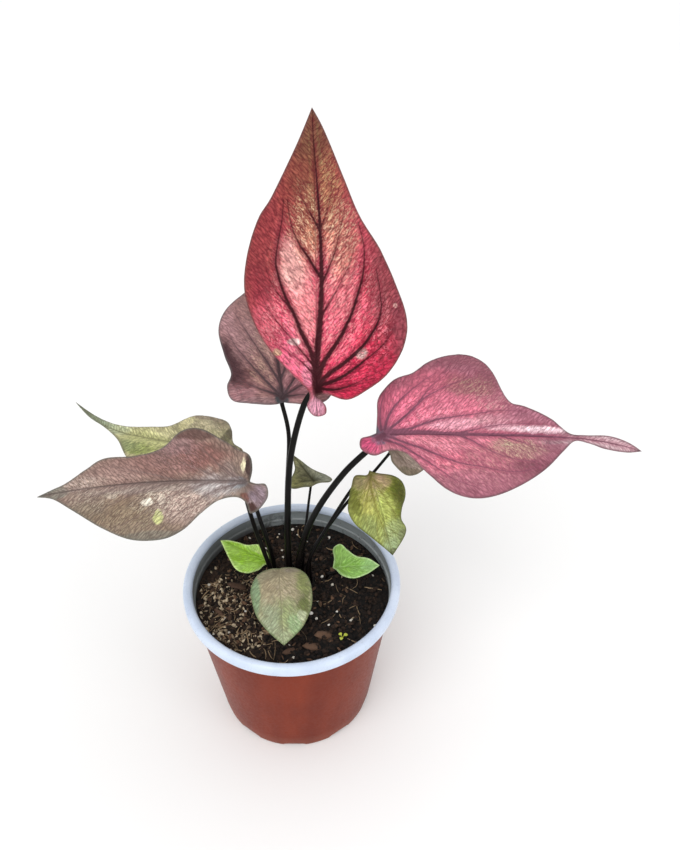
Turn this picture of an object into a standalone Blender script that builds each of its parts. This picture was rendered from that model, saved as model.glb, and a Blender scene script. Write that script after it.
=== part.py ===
"""A potted caladium: heart-shaped blades on dark petioles that rise from a tuber buried in a nursery pot.

Metres, +Z up. The origin is the centre of the pot's underside, on the surface that it stands on.
+X is to the right and +Y to the back, seen from the side that the largest blade faces.
The sizes below are in millimetres, as they would be measured on the plant, and MM turns them to metres.
"""

import math

import bmesh
import bpy
import numpy as np
from mathutils import Euler, Vector, noise

MM = 0.001
CLEARANCE = 0.35

# The pot: a thin moulded cone with a notched foot and a rolled rim, whose skirt hangs clear of the wall.
POT_HEIGHT = 113.0
RIM_RADIUS = 70.0
RIM_WIDTH = 6.0
RIM_DROP = 7.0
NECK_RADIUS = 65.4
FOOT_RADIUS = 52.0
FOOT_ROUND = 2.5
SKIRT_LEAN = 0.6
SKIRT_TAPER = 0.8
SKIRT_HOLLOW = 2.4
SHOULDER = 0.4
WALL = 1.2
FLOOR = 2.0
HEEL_WIDTH = 7.0
HEEL_RISE = 3.0
POT_SIDES = 48
CROWN_STEPS = 6
TOE_STEPS = 3
NOTCHES = 10
NOTCH_WIDTH = 15.0
NOTCH_HEIGHT = 2.4
NOTCH_DEPTH = 5.0
DRAIN_HOLES = 6
DRAIN_CIRCLE = 30.0
DRAIN_RADIUS = 4.0

# The soil fills the pot to a gently heaped, crumbly surface, round a flattened tuber.
SOIL_LEVEL = 98.0
SOIL_HEAP = 2.0
SOIL_RELIEF = 3.0
SOIL_CRUMB = 11.0
SOIL_COLLAR = 3.5
SOIL_RINGS = 8
SOIL_EDGE = 1.0
SOIL_FRACTAL = (0.8, 2.0, 3)
HOLE_BELOW = 3.0
HOLE_ABOVE = 10.0
TUBER_CENTRE = (1.0, 3.0, 66.0)
TUBER_RADII = (20.0, 20.0, 14.0)
TUBER_RINGS = 0.03
TUBER_RING_PITCH = 14

# The blades: thin sheets, thickest along their ribs, and puffed up a little between the veins.
BLADE_THICKNESS = 0.8
RIB_THICKNESS = 2.2
VEIN_THICKNESS = 1.4
SMALL_RIB_THICKNESS = 1.4
RIB_TAPER = 0.6
VEIN_SPACING = 3
QUILTING = 1.5
SMALL_QUILTING = 0.75
NOTCH_BACK = 4.0
VEIN_SLANT = 0.55
LOBE_SHARE = 0.35
LOBE_SOFTNESS = 0.02
VEIN_CURVE = (0.35, 0.6)
MARGIN_CROWDING = 1.15
CURVE_STEPS = 24
SPINE_STEP = 0.5
SPINE_BACK = 30.0

# How many rows a blade has from its notch to its tip, and how many steps from the midrib to the margin.
LARGE_GRID = (24, 4)
SMALL_GRID = (12, 3)

# The petioles' step along their length, and how many radii of their top stand square to the blade.
PETIOLE_STEP = 12.0
PETIOLE_NECK = 3.5

# Each leaf. at: where the petiole meets the blade. heading, rise, roll: which way its midrib and face
# point, in degrees. arch: how far the midrib bends down by the tip, and tail_drop, tail_sway, twist: what the
# drip tip adds beyond tail_at. droop: how the basal lobes bend down. fold, curl: the angle at which each half
# (left, right) leaves the midrib, and its bend for each centimetre. left, right: the margin's points from the
# notch to the tip, as distances along and across the midrib. root: where the petiole leaves the tuber.
# route: the petiole's points above the soil. radius: the petiole's at its foot and under the blade.
LEAVES = {
    "upright": dict(
        at=(18, 10, 255), heading=90, rise=60, roll=0, length=145, arch=-8, sway=1, droop=10,
        fold=(8, 6), curl=(-5, -6), ripple=1.2, waves=3,
        left=[(-9, -5), (-14, -5), (-15, 1), (-10, 5), (-2, 4), (9, 14), (21, 25), (34, 33), (52, 38),
              (72, 36), (90, 30), (102, 22), (126, 9)],
        right=[(-3, -6), (-6, -17), (-1, -28), (8, -40), (23, -49), (38, -51), (55, -45), (74, -35),
               (91, -24), (110, -16), (134, -6)],
        root=(0, 3), route=[(-2, 5, 125), (-1, 6, 165), (2, 9, 205), (10, 15, 238)], radius=(2.3, 1.7),
    ),
    "behind": dict(
        at=(-2, 25, 239), heading=99, rise=20, roll=4, length=102, arch=10, droop=10,
        fold=(6, 6), curl=(-2, -4), ripple=1.5, waves=2,
        left=[(-6, 6), (-5, 20), (-2, 29), (8, 31), (18, 28), (32, 31), (50, 33), (68, 27), (86, 13)],
        right=[(-6, -6), (-8, -16), (-3, -27), (12, -32), (34, -32), (58, -26), (80, -14)],
        root=(-2, 10), route=[(-3, 13, 130), (-1, 16, 180), (1, 19, 215)], radius=(1.7, 1.2),
    ),
    "right": dict(
        at=(55, 0, 232), heading=5, rise=-4, roll=24, length=155, arch=8, droop=20,
        tail_at=0.70, tail_sway=-16, twist=20, fold=(12, 4), curl=(-5, -5), ripple=1.2, waves=3,
        left=[(-3, 10), (-2, 20), (3, 28), (10, 35), (20, 39.5), (28, 46), (35, 50), (45, 53), (55, 53.5),
              (62, 50.5), (67, 45), (70, 37), (72, 28), (76, 20.5), (84, 18), (98, 11), (109, 2.5),
              (120, 2), (134, 3.5), (146, 2.5)],
        right=[(-8, -2), (-13, -4), (-13, -10), (-6, -14), (3, -11), (12, -13), (23, -24), (35, -34),
               (48, -38), (62, -36), (78, -29), (92, -20), (104, -9), (112, -2.5), (120, -3), (132, -5),
               (146, -3.5)],
        root=(6, 2), route=[(4.5, 1, 125), (14, 0, 165), (33, 0, 202)], radius=(2.3, 1.7),
    ),
    "left": dict(
        at=(-24, -10, 205), heading=178, rise=1, roll=-20, length=123, arch=16, sway=6, droop=50,
        fold=(0, 22), curl=(-5, -2), ripple=1.5, waves=3,
        left=[(-8, 1), (-13, 1), (-15, 8), (-11, 16), (-6, 19), (-3, 13), (3, 10), (13, 12), (22, 19),
              (32, 29), (44, 34), (62, 33), (80, 25), (98, 13), (112, 3.5)],
        right=[(-5, -7), (-3, -15), (4, -19), (13, -24), (25, -30), (36, -29), (47, -20), (62, -16),
               (80, -16), (92, -11), (104, -5), (113, -2.5)],
        root=(-7, 0), route=[(-14, -1, 125), (-20, -4, 160), (-23, -7, 185)], radius=(1.6, 1.2),
    ),
    "left_rear": dict(
        at=(-31, 25, 197), heading=164, rise=-2, roll=0, length=117, arch=0, droop=25,
        tail_at=0.55, tail_drop=-27, tail_sway=-22, fold=(0, 0), curl=(-8, -2), ripple=1.2, waves=2,
        left=[(-5, 6), (-7, 14), (0, 24), (14, 28), (34, 29), (52, 26), (66, 18), (78, 6), (90, 1),
              (104, 1)],
        right=[(-1, -4), (6, -8), (12, -20), (20, -30), (30, -33.5), (40, -33), (45, -28), (48, -20),
               (52, -13.5), (60, -10.5), (78, -7), (92, -4.5), (104, -2.5)],
        root=(-8, 7), route=[(-14, 9, 130), (-21, 14, 160), (-26, 19, 182)], radius=(1.6, 1.2),
    ),
    "rear_small": dict(
        at=(13, 45, 157), heading=130, rise=20, roll=0, length=23, arch=0, fold=(2, 2), ripple=0.3,
        left=[(-4, 4), (-2, 9), (0, 15), (3, 17), (7, 13), (12, 6), (17, 3)],
        right=[(-5, -3), (-7.5, -8), (-6.5, -11.5), (-2, -10), (3, -6.5), (8, -4), (16, -2)],
        root=(5, 9), route=[(7, 20, 120), (10, 34, 142)], radius=(1.1, 0.8), small=True,
    ),
    "right_low": dict(
        at=(50, 12, 189), heading=-61, rise=-50, roll=0, length=51, arch=16, droop=40,
        fold=(6, 6), curl=(-12, -12), ripple=0.6, waves=2,
        left=[(-1, 4), (4, 14), (10, 19), (18, 19), (25, 14), (31, 11.5), (37, 13), (41, 11.5), (46, 6)],
        right=[(-2, -3), (-4, -10), (1, -14), (8, -18), (15, -20.5), (24, -18.5), (35, -11), (45, -4)],
        root=(11, 0), route=[(11, 2, 125), (26, 8, 157), (41, 14, 182)], radius=(1.3, 1.0), small=True,
    ),
    "right_rear": dict(
        at=(63, 25, 200), heading=14, rise=-14, roll=22, length=34, arch=20,
        fold=(5, 5), curl=(-8, -8), ripple=0.5, waves=2,
        left=[(-3, 4), (-3, 10), (5, 15), (15, 15), (26, 9)],
        right=[(-3, -4), (-2, -10), (5, -17), (12, -17), (20, -12), (28, -6)],
        root=(10, 6), route=[(13, 10, 126), (32, 16, 158), (50, 21, 182)], radius=(1.2, 0.9), small=True,
    ),
    "front": dict(
        at=(-7, -8, 125.6), heading=-84, rise=-5, roll=0, length=47, arch=24, droop=40,
        fold=(4, 4), curl=(-10, -10), ripple=0.5, waves=2,
        left=[(-4, 5), (-3, 11), (2, 17), (10, 19.5), (22, 19), (32, 15), (39, 10)],
        right=[(-4, -4), (-3, -10), (1, -15), (10, -18.5), (18, -18), (28, -15.5), (38, -9)],
        root=(-3, -5), route=[(-6, -5, 114)], radius=(1.4, 1.1), small=True,
    ),
    "bright_left": dict(
        at=(-19, 15.5, 112), heading=157.6, rise=10, roll=0, length=33, arch=0, fold=(12, 12), ripple=0.4,
        left=[(-2, 6), (-1, 11), (3, 17), (8, 19), (13, 18), (20, 12.5), (27, 6)],
        right=[(-1, -4), (3, -7), (7, -8.5), (11, -7.5), (15, -5), (22, -4), (28, -2.5)],
        root=(-11, 11), route=[(-14, 13, 106)], radius=(1.1, 0.8), small=True,
    ),
    "bright_right": dict(
        at=(30, 13, 108), heading=-4, rise=12, roll=0, length=27.5, arch=8, fold=(16, 16), ripple=0.4,
        left=[(-3, 6), (-4, 14), (1, 17), (6, 12), (12, 7), (20, 5)],
        right=[(-1, -4), (4, -11), (12, -14), (21, -9)],
        root=(15, 8), route=[(23, 11, 103.5)], radius=(1.1, 0.8), small=True,
    ),
}


def smooth(t):
    """Rise from 0 to 1 with a level start and end."""
    t = np.clip(t, 0.0, 1.0)
    return t * t * (3.0 - 2.0 * t)


def smooth_curve(points, count, crowding=1.0):
    """Points along the Catmull-Rom curve through the given ones, crowded towards its start above 1."""
    knots = np.array([points[0], *points, points[-1]], dtype=float)
    t = np.linspace(0.0, 1.0, CURVE_STEPS, endpoint=False)[:, None]
    fine = []
    for a, b, c, d in zip(knots, knots[1:], knots[2:], knots[3:]):
        bend = (2 * a - 5 * b + 4 * c - d) * t + (3 * b - a - 3 * c + d) * t * t
        fine.append(b + 0.5 * t * ((c - a) + bend))
    fine = np.vstack([*fine, knots[-1]])
    walked = np.concatenate([[0.0], np.cumsum(np.linalg.norm(np.diff(fine, axis=0), axis=1))])
    wanted = walked[-1] * np.linspace(0.0, 1.0, count) ** crowding
    return np.stack([np.interp(wanted, walked, column) for column in fine.T], axis=1)


class Sheet:
    """The bent surface that a blade is laid on: a curved midrib with a curved half each side."""

    def __init__(self, leaf):
        self.at = np.array(leaf["at"], dtype=float)
        self.length = leaf["length"]
        turn = [math.radians(angle) for angle in (leaf["roll"], -leaf["rise"], leaf["heading"])]
        self.axes = np.array(Euler(turn, "XYZ").to_matrix())
        self.fold = np.radians(leaf["fold"])
        self.curl = np.radians(leaf.get("curl", (0, 0))) / 10.0
        self.twist = math.radians(leaf.get("twist", 0))
        self.tail_at = leaf.get("tail_at", 0.99)
        self.walked = np.arange(-SPINE_BACK, self.length + SPINE_STEP, SPINE_STEP)
        share = self.walked / self.length
        tail = self.tail(self.walked)
        drop = np.radians(leaf["arch"] * np.clip(share, 0, None) + leaf.get("tail_drop", 0) * tail
                          + leaf.get("droop", 0) * np.clip(share, None, 0))
        sway = np.radians(leaf.get("sway", 0) * np.clip(share, 0, None) + leaf.get("tail_sway", 0) * tail)
        ahead = np.stack([np.cos(drop) * np.cos(sway), np.cos(drop) * np.sin(sway), -np.sin(drop)], axis=1)
        self.side = np.stack([-np.sin(sway), np.cos(sway), 0 * sway], axis=1)
        self.face = np.cross(ahead, self.side)
        steps = (ahead[1:] + ahead[:-1]) / 2 * SPINE_STEP
        spine = np.vstack([np.zeros(3), np.cumsum(steps, axis=0)])
        self.spine = spine - self.along(spine, np.zeros(1))

    def tail(self, x):
        """How far into the drip tip a place along the midrib is, from 0 to 1."""
        return smooth((x / self.length - self.tail_at) / (1 - self.tail_at))

    def along(self, values, x):
        """Read the spine's values at distances along the midrib."""
        return np.stack([np.interp(x, self.walked, column) for column in values.T], axis=-1)

    def place(self, x, y):
        """World positions, in millimetres, of places along (x) and across (y) the flat blade."""
        half = (y < 0).astype(int)
        fold = self.fold[half]
        curl = self.curl[half] + 1e-7
        out = np.abs(y)
        across = np.where(y < 0, -1, 1) * (np.sin(fold + curl * out) - np.sin(fold)) / curl
        up = (np.cos(fold) - np.cos(fold + curl * out)) / curl
        turn = self.twist * self.tail(x)
        across, up = (across * np.cos(turn) - up * np.sin(turn), across * np.sin(turn) + up * np.cos(turn))
        local = (self.along(self.spine, x) + self.along(self.side, x) * across[..., None]
                 + self.along(self.face, x) * up[..., None])
        return local @ self.axes.T + self.at

    def normal(self, x, y, step=0.5):
        """The face's outward direction at places on the flat blade."""
        ahead = self.place(x + step, y) - self.place(x - step, y)
        left = self.place(x, y + step) - self.place(x, y - step)
        normal = np.cross(ahead, left)
        return normal / np.linalg.norm(normal, axis=-1, keepdims=True)


def vein_feet(leaf, margins, along):
    """Where each row leaves the midrib: near the petiole for the lobes, further on for the rest."""
    forward = np.mean([m[:, 0] - VEIN_SLANT * np.abs(m[:, 1]) for m in margins], axis=0)
    soft = leaf["length"] * LOBE_SOFTNESS
    forward = (forward + np.sqrt(forward ** 2 + soft ** 2)) / 2
    notch = NOTCH_BACK * (smooth(along / LOBE_SHARE) - 1)
    feet = np.maximum.accumulate(notch + forward * smooth(along / LOBE_SHARE))
    feet[-1] = leaf["length"]
    return feet


def blade_grid(leaf):
    """Flat places of the blade's grid: rows run out along the veins, from the notch to the tip."""
    rows, steps = SMALL_GRID if leaf.get("small") else LARGE_GRID
    along = np.linspace(0.0, 1.0, rows + 1)
    notch, tip = (-NOTCH_BACK, 0), (leaf["length"], 0)
    margins = [smooth_curve([notch, *leaf[side], tip], rows + 1, MARGIN_CROWDING)
               for side in ("right", "left")]
    feet = vein_feet(leaf, margins, along)
    out = np.linspace(0.0, 1.0, steps + 1)[None, :, None]
    midrib = np.stack([feet, 0 * feet], axis=1)[:, None, :]
    halves = []
    for margin in margins:
        edge = margin[:, None, :]
        bend = midrib + (edge - midrib) * VEIN_CURVE
        halves.append((1 - out) ** 2 * midrib + 2 * out * (1 - out) * bend + out ** 2 * edge)
    right, left = halves
    return np.concatenate([right[:, :0:-1], left], axis=1)


def blade_relief(leaf, rows, columns):
    """How far each grid point stands off the sheet: the margin's waves, and the puffing between the veins."""
    along = np.linspace(0.0, 1.0, rows)[:, None]
    across = np.linspace(-1.0, 1.0, columns)[None, :]
    out = np.abs(across)
    wave = np.sin(math.tau * leaf.get("waves", 1) * along + np.sign(across) + leaf["heading"])
    ripple = leaf["ripple"] * wave * out ** 2 * np.sin(math.pi * along)
    between = np.arange(rows)[:, None] % VEIN_SPACING != 0
    height = SMALL_QUILTING if leaf.get("small") else QUILTING
    quilt = height * between * out * (1 - out) * 4 * np.sin(math.pi * along)
    return ripple + quilt


def rib_weights(rows, columns):
    """Thickness at each grid point, from 0 for the bare blade to 1 for the midrib."""
    across = np.abs(np.linspace(-1.0, 1.0, columns))[None, :]
    along = np.linspace(0.0, 1.0, rows)[:, None]
    vein = (VEIN_THICKNESS - BLADE_THICKNESS) / (RIB_THICKNESS - BLADE_THICKNESS)
    on_vein = np.arange(rows)[:, None] % VEIN_SPACING == 0
    weights = np.where(across < 1e-6, 1.0, on_vein * vein * (1 - across))
    return weights * (1 - RIB_TAPER * along)


def rib_thickness(leaf):
    """The blade's thickness at its midrib."""
    return SMALL_RIB_THICKNESS if leaf.get("small") else RIB_THICKNESS


def linear(colour):
    """Turn an sRGB hex colour into linear red, green and blue."""
    values = [int(colour[i:i + 2], 16) / 255 for i in (0, 2, 4)]
    return [v / 12.92 if v <= 0.04045 else ((v + 0.055) / 1.055) ** 2.4 for v in values]


def make_material(name, colour, roughness):
    """A plain finish: nothing on a potted plant is metal."""
    material = bpy.data.materials.new(name)
    material.use_nodes = True
    shader = material.node_tree.nodes["Principled BSDF"]
    shader.inputs["Base Color"].default_value = (*linear(colour), 1.0)
    shader.inputs["Roughness"].default_value = roughness
    shader.inputs["Metallic"].default_value = 0.0
    return material


def new_collection(name):
    """A collection in the scene."""
    collection = bpy.data.collections.new(name)
    bpy.context.scene.collection.children.link(collection)
    return collection


def add_object(name, data, collection, material=None):
    """An object for a mesh or a curve, in a collection, with its material."""
    thing = bpy.data.objects.new(name, data)
    collection.objects.link(thing)
    if material:
        data.materials.append(material)
    return thing


def mesh_from(name, shape):
    """Turn a bmesh into a mesh with its faces pointing out."""
    bmesh.ops.recalc_face_normals(shape, faces=shape.faces)
    mesh = bpy.data.meshes.new(name)
    shape.to_mesh(mesh)
    shape.free()
    return mesh


def round_off(thing, angle=35):
    """Shade an object smooth, with its edges sharper than the angle kept."""
    mesh = thing.data
    mesh.shade_smooth()
    mesh.set_sharp_from_angle(angle=math.radians(angle))


def turned(name, profile, sides, collection, material=None):
    """A solid of revolution: the profile, at +X, starts and ends on the axis."""
    mesh = bpy.data.meshes.new(name)
    points = [(radius * MM, 0.0, height * MM) for radius, height in profile]
    mesh.from_pydata(points, [(i, i + 1) for i in range(len(points) - 1)], [])
    thing = add_object(name, mesh, collection, material)
    screw = thing.modifiers.new("turn", "SCREW")
    screw.steps = sides
    screw.render_steps = sides
    screw.use_merge_vertices = True
    screw.merge_threshold = 0.00001
    screw.use_smooth_shade = True
    return thing


def cut(thing, cutters, name):
    """Take a cutter, or a collection of cutters that lie apart, out of an object."""
    boolean = thing.modifiers.new(name, "BOOLEAN")
    boolean.operation = "DIFFERENCE"
    boolean.solver = "EXACT"
    if isinstance(cutters, bpy.types.Collection):
        boolean.operand_type = "COLLECTION"
        boolean.collection = cutters
    else:
        boolean.object = cutters


def hide_cutter(thing):
    """Show a cutter as wires only."""
    thing.hide_render = True
    thing.display_type = "WIRE"
    return thing


def rod_between(name, start, end, radius, collection, sides=12):
    """A round cutter from one point to another, in millimetres."""
    start, end = Vector(start), Vector(end)
    shape = bmesh.new()
    bmesh.ops.create_cone(shape, cap_ends=True, segments=sides, radius1=radius * MM, radius2=radius * MM,
                          depth=(end - start).length * MM)
    rod = hide_cutter(add_object(name, mesh_from(name, shape), collection))
    rod.location = (start + end) / 2 * MM
    rod.rotation_euler = (end - start).to_track_quat("Z", "Y").to_euler()
    return rod


def pot_outside(height):
    """The pot wall's outer radius below the rim."""
    return FOOT_RADIUS + (NECK_RADIUS - FOOT_RADIUS) * height / (POT_HEIGHT - RIM_DROP)


def pot_inside(height):
    """The pot wall's inner radius."""
    return pot_outside(height) - WALL


def pot_profile():
    """The pot's section, from the middle of its floor up the inside, over the rim and down the outside."""
    neck = POT_HEIGHT - RIM_DROP
    heel = FLOOR + HEEL_RISE
    lip = RIM_WIDTH / 2
    centre = RIM_RADIUS - lip
    skirt = RIM_RADIUS - SKIRT_LEAN
    arc = [math.pi - math.pi * step / CROWN_STEPS for step in range(CROWN_STEPS + 1)]
    crown = [(centre + lip * math.cos(a), POT_HEIGHT - lip + lip * math.sin(a)) for a in arc]
    bend = [math.pi / 2 * step / TOE_STEPS for step in range(TOE_STEPS + 1)]
    toe = [(pot_outside(0) - FOOT_ROUND * (1 - math.cos(a)), FOOT_ROUND * (1 - math.sin(a))) for a in bend]
    return [
        (0, FLOOR),
        (pot_inside(0) - HEEL_WIDTH, FLOOR),
        (pot_inside(0) - HEEL_WIDTH + HEEL_RISE, heel),
        (pot_inside(heel), heel),
        (pot_inside(neck), neck),
        *crown,
        (skirt, neck),
        (skirt - WALL, neck),
        (skirt - WALL - SKIRT_TAPER, neck + SKIRT_HOLLOW),
        (NECK_RADIUS + SHOULDER, neck + SKIRT_HOLLOW),
        (NECK_RADIUS, neck - 2 * SHOULDER),
        *toe,
        (0, 0),
    ]


def make_pot(parts, cutters):
    """The nursery pot, with drain notches round its foot and drain holes through its floor."""
    pot = turned("pot", pot_profile(), POT_SIDES, parts, make_material("terracotta_plastic", "A04F36", 0.35))
    drains = bpy.data.collections.new("pot_drains")
    cutters.children.link(drains)
    for k in range(NOTCHES):
        angle = math.tau * (k + 0.5) / NOTCHES
        ray = Vector((math.cos(angle), math.sin(angle), 0))
        inner, outer = ray * (FOOT_RADIUS - NOTCH_DEPTH), ray * (FOOT_RADIUS + NOTCH_DEPTH)
        notch = rod_between(f"notch_{k}", inner, outer, 1.0, drains)
        notch.scale = (NOTCH_WIDTH / 2, NOTCH_HEIGHT, 1.0)
    for k in range(DRAIN_HOLES):
        angle = math.tau * k / DRAIN_HOLES
        spot = Vector((math.cos(angle), math.sin(angle), 0)) * DRAIN_CIRCLE
        rod_between(f"drain_{k}", spot - Vector((0, 0, FLOOR)), spot + Vector((0, 0, 2 * FLOOR)),
                    DRAIN_RADIUS, drains)
    cut(pot, drains, "drains")
    return pot


def on_tuber(x, y, inset=0.0):
    """The height of the tuber's top over a place, or a little nearer to its middle."""
    reach = math.hypot(x - TUBER_CENTRE[0], y - TUBER_CENTRE[1]) - inset
    share = max(reach, 0) / TUBER_RADII[0]
    return TUBER_CENTRE[2] + TUBER_RADII[2] * math.sqrt(1 - share ** 2)


def tuber_shape(grown=0.0):
    """A flattened ball with faint rings, where old leaf bases have fallen away."""
    shape = bmesh.new()
    bmesh.ops.create_icosphere(shape, subdivisions=3, radius=1.0)
    for vert in shape.verts:
        ring = 1 - TUBER_RINGS * (0.5 + 0.5 * math.cos(vert.co.z * TUBER_RING_PITCH))
        for axis, radius in enumerate(TUBER_RADII):
            vert.co[axis] = (vert.co[axis] * (radius * ring + grown) + TUBER_CENTRE[axis]) * MM
    return shape


def make_tuber(parts):
    """The tuber, which the roots and petioles grow from."""
    tuber = add_object("tuber", mesh_from("tuber", tuber_shape()), parts,
                       make_material("tuber_skin", "6B4A32", 0.8))
    round_off(tuber)
    return tuber


def soil_profile():
    """The soil's section: its heaped top out to the wall, then down the wall and along the floor."""
    edge = pot_inside(SOIL_LEVEL) - CLEARANCE
    shares = [ring / SOIL_RINGS for ring in range(SOIL_RINGS + 1)]
    top = [(edge * share, SOIL_LEVEL + SOIL_HEAP * (1 - share ** 2)) for share in shares]
    floor = FLOOR + CLEARANCE
    heel = floor + HEEL_RISE
    step = pot_inside(0) - HEEL_WIDTH - CLEARANCE
    return [*top, (pot_inside(heel) - CLEARANCE, heel), (step + HEEL_RISE, heel), (step, floor), (0, floor)]


def crumble(mesh):
    """Roughen the soil's top, and leave its edge at the wall alone."""
    edge = pot_inside(SOIL_LEVEL) - CLEARANCE
    for vert in mesh.vertices:
        x, y, z = vert.co / MM
        if z > SOIL_LEVEL - SOIL_EDGE:
            relief = noise.fractal(Vector((x, y, 0)) / SOIL_CRUMB, *SOIL_FRACTAL)
            vert.co.z += SOIL_RELIEF * relief * (1 - (math.hypot(x, y) / edge) ** 6) * MM


def make_soil(parts, cutters):
    """The soil, with a hollow for the tuber and a hole for each petiole."""
    soil = turned("soil", soil_profile(), POT_SIDES, parts)
    mesh = bpy.data.meshes.new_from_object(soil.evaluated_get(bpy.context.evaluated_depsgraph_get()))
    soil.modifiers.clear()
    soil.data = mesh
    mesh.materials.append(make_material("peat", "2E2019", 0.95))
    crumble(mesh)
    hollow = add_object("tuber_hollow", mesh_from("tuber_hollow", tuber_shape(CLEARANCE)), cutters)
    cut(soil, hide_cutter(hollow), "tuber_hollow")
    for name, leaf in LEAVES.items():
        foot, collar = buried_line(leaf)
        along = (collar - foot).normalized()
        hole = rod_between(f"hole_{name}", foot - along * HOLE_BELOW, collar + along * HOLE_ABOVE,
                           leaf["radius"][0] + CLEARANCE, cutters)
        cut(soil, hole, hole.name)
    return soil


def buried_line(leaf):
    """The straight foot of a petiole, from its seat on the tuber to just above the soil."""
    x, y = leaf["root"]
    foot = Vector((x, y, on_tuber(x, y, leaf["radius"][0]) + CLEARANCE))
    aim = Vector(leaf["route"][0]) - foot
    return foot, foot + aim * ((SOIL_LEVEL + SOIL_COLLAR - foot.z) / aim.z)


def petiole_path(leaf):
    """The petiole's centre line: straight in the soil, then curving up to stand square under the blade."""
    foot, collar = buried_line(leaf)
    sheet = Sheet(leaf)
    down = -sheet.normal(np.zeros(1), np.zeros(1))[0]
    top = sheet.at + down * (rib_thickness(leaf) + CLEARANCE)
    neck = top + down * leaf["radius"][1] * PETIOLE_NECK
    knots = [collar, *leaf["route"], neck, top]
    length = sum(math.dist(a, b) for a, b in zip(knots, knots[1:]))
    count = max(round(length / PETIOLE_STEP), 3) + 1
    return [foot, *smooth_curve(knots[:-1], count), top]


def make_petiole(name, leaf, parts, material):
    """A petiole: a tapering round stalk."""
    path = [Vector(point) for point in petiole_path(leaf)]
    curve = bpy.data.curves.new(name, "CURVE")
    curve.dimensions = "3D"
    curve.bevel_depth = MM
    curve.bevel_resolution = 2
    curve.use_fill_caps = True
    spline = curve.splines.new("POLY")
    spline.points.add(len(path) - 1)
    walked = 0.0
    total = sum((b - a).length for a, b in zip(path, path[1:]))
    thick, thin = leaf["radius"]
    for k, (point, place) in enumerate(zip(spline.points, path)):
        walked += (place - path[k - 1]).length if k else 0.0
        point.co = (*(place * MM), 1.0)
        point.radius = thick + (thin - thick) * walked / total
    return add_object(name, curve, parts, material)


def make_blade(name, leaf, parts, material):
    """A blade: its grid laid on the bent sheet, then thickened below, most along its ribs."""
    flat = blade_grid(leaf)
    rows, columns = flat.shape[:2]
    sheet = Sheet(leaf)
    x, y = flat[..., 0], flat[..., 1]
    places = sheet.place(x, y) + sheet.normal(x, y) * blade_relief(leaf, rows, columns)[..., None]
    weights = rib_weights(rows, columns)
    shape = bmesh.new()
    bmesh.ops.create_grid(shape, x_segments=columns - 1, y_segments=rows - 1, size=1.0)
    rib = shape.verts.layers.deform.verify()
    for vert in shape.verts:
        i = round((vert.co.y + 1) / 2 * (rows - 1))
        j = round((vert.co.x + 1) / 2 * (columns - 1))
        vert.co = Vector(places[i, j]) * MM
        vert[rib][0] = float(weights[i, j])
    bmesh.ops.remove_doubles(shape, verts=shape.verts, dist=0.02 * MM)
    bmesh.ops.triangulate(shape, faces=shape.faces)
    mesh = bpy.data.meshes.new(name)
    shape.to_mesh(mesh)
    shape.free()
    blade = add_object(name, mesh, parts, material)
    blade.vertex_groups.new(name="ribs")
    if sheet_faces_down(blade, sheet):
        mesh.flip_normals()
    solid = blade.modifiers.new("thickness", "SOLIDIFY")
    solid.thickness = rib_thickness(leaf) * MM
    solid.vertex_group = "ribs"
    solid.thickness_vertex_group = BLADE_THICKNESS / rib_thickness(leaf)
    solid.offset = -1.0
    round_off(blade, 50)
    return blade


def sheet_faces_down(blade, sheet):
    """Whether the blade's faces look out of its underside."""
    total = sum((face.normal * face.area for face in blade.data.polygons), Vector())
    return total.dot(Vector(sheet.axes[:, 2])) < 0


COLOURS = {
    "upright": "B8384F", "behind": "8E5A63", "right": "BE5C74", "left": "8A6660", "left_rear": "8B8B58",
    "rear_small": "8C8F5A", "right_low": "92A24A", "right_rear": "A79C86", "front": "8F9A6C",
    "bright_left": "8FC24A", "bright_right": "86BE5A",
}


def main():
    """Build the plant in its pot."""
    for thing in list(bpy.data.objects):
        bpy.data.objects.remove(thing)
    parts = new_collection("caladium")
    cutters = new_collection("cutters")
    make_pot(parts, cutters)
    make_tuber(parts)
    make_soil(parts, cutters)
    stalk = make_material("dark_petiole", "191516", 0.3)
    for name, leaf in LEAVES.items():
        make_petiole(f"petiole_{name}", leaf, parts, stalk)
        make_blade(f"blade_{name}", leaf, parts, make_material(f"leaf_{name}", COLOURS[name], 0.5))


main()
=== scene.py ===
"""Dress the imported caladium: fine blades, petioles, pot and soil in place of the plain solids.

Metres, +Z up, with the origin under the middle of the pot. The sizes below are in millimetres, as they would
be measured on the plant, and MM turns them to metres. Colours are sRGB hex values.
"""

import math
import random

import bmesh
import bpy
import numpy as np
from mathutils import Euler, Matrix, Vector, noise
from mathutils.geometry import delaunay_2d_cdt


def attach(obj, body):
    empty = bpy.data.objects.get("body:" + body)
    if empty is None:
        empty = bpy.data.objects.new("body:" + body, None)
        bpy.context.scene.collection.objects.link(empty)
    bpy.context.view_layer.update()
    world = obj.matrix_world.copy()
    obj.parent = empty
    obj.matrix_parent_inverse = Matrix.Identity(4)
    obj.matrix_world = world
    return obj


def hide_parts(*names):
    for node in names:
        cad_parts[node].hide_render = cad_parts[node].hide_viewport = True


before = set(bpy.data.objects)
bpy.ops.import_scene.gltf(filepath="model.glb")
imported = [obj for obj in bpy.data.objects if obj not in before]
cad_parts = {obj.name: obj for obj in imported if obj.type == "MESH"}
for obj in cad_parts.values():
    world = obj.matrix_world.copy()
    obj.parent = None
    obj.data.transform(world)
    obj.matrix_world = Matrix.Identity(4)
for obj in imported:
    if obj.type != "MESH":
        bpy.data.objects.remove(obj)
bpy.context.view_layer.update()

MM = 0.001
CLEARANCE = 0.35

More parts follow.
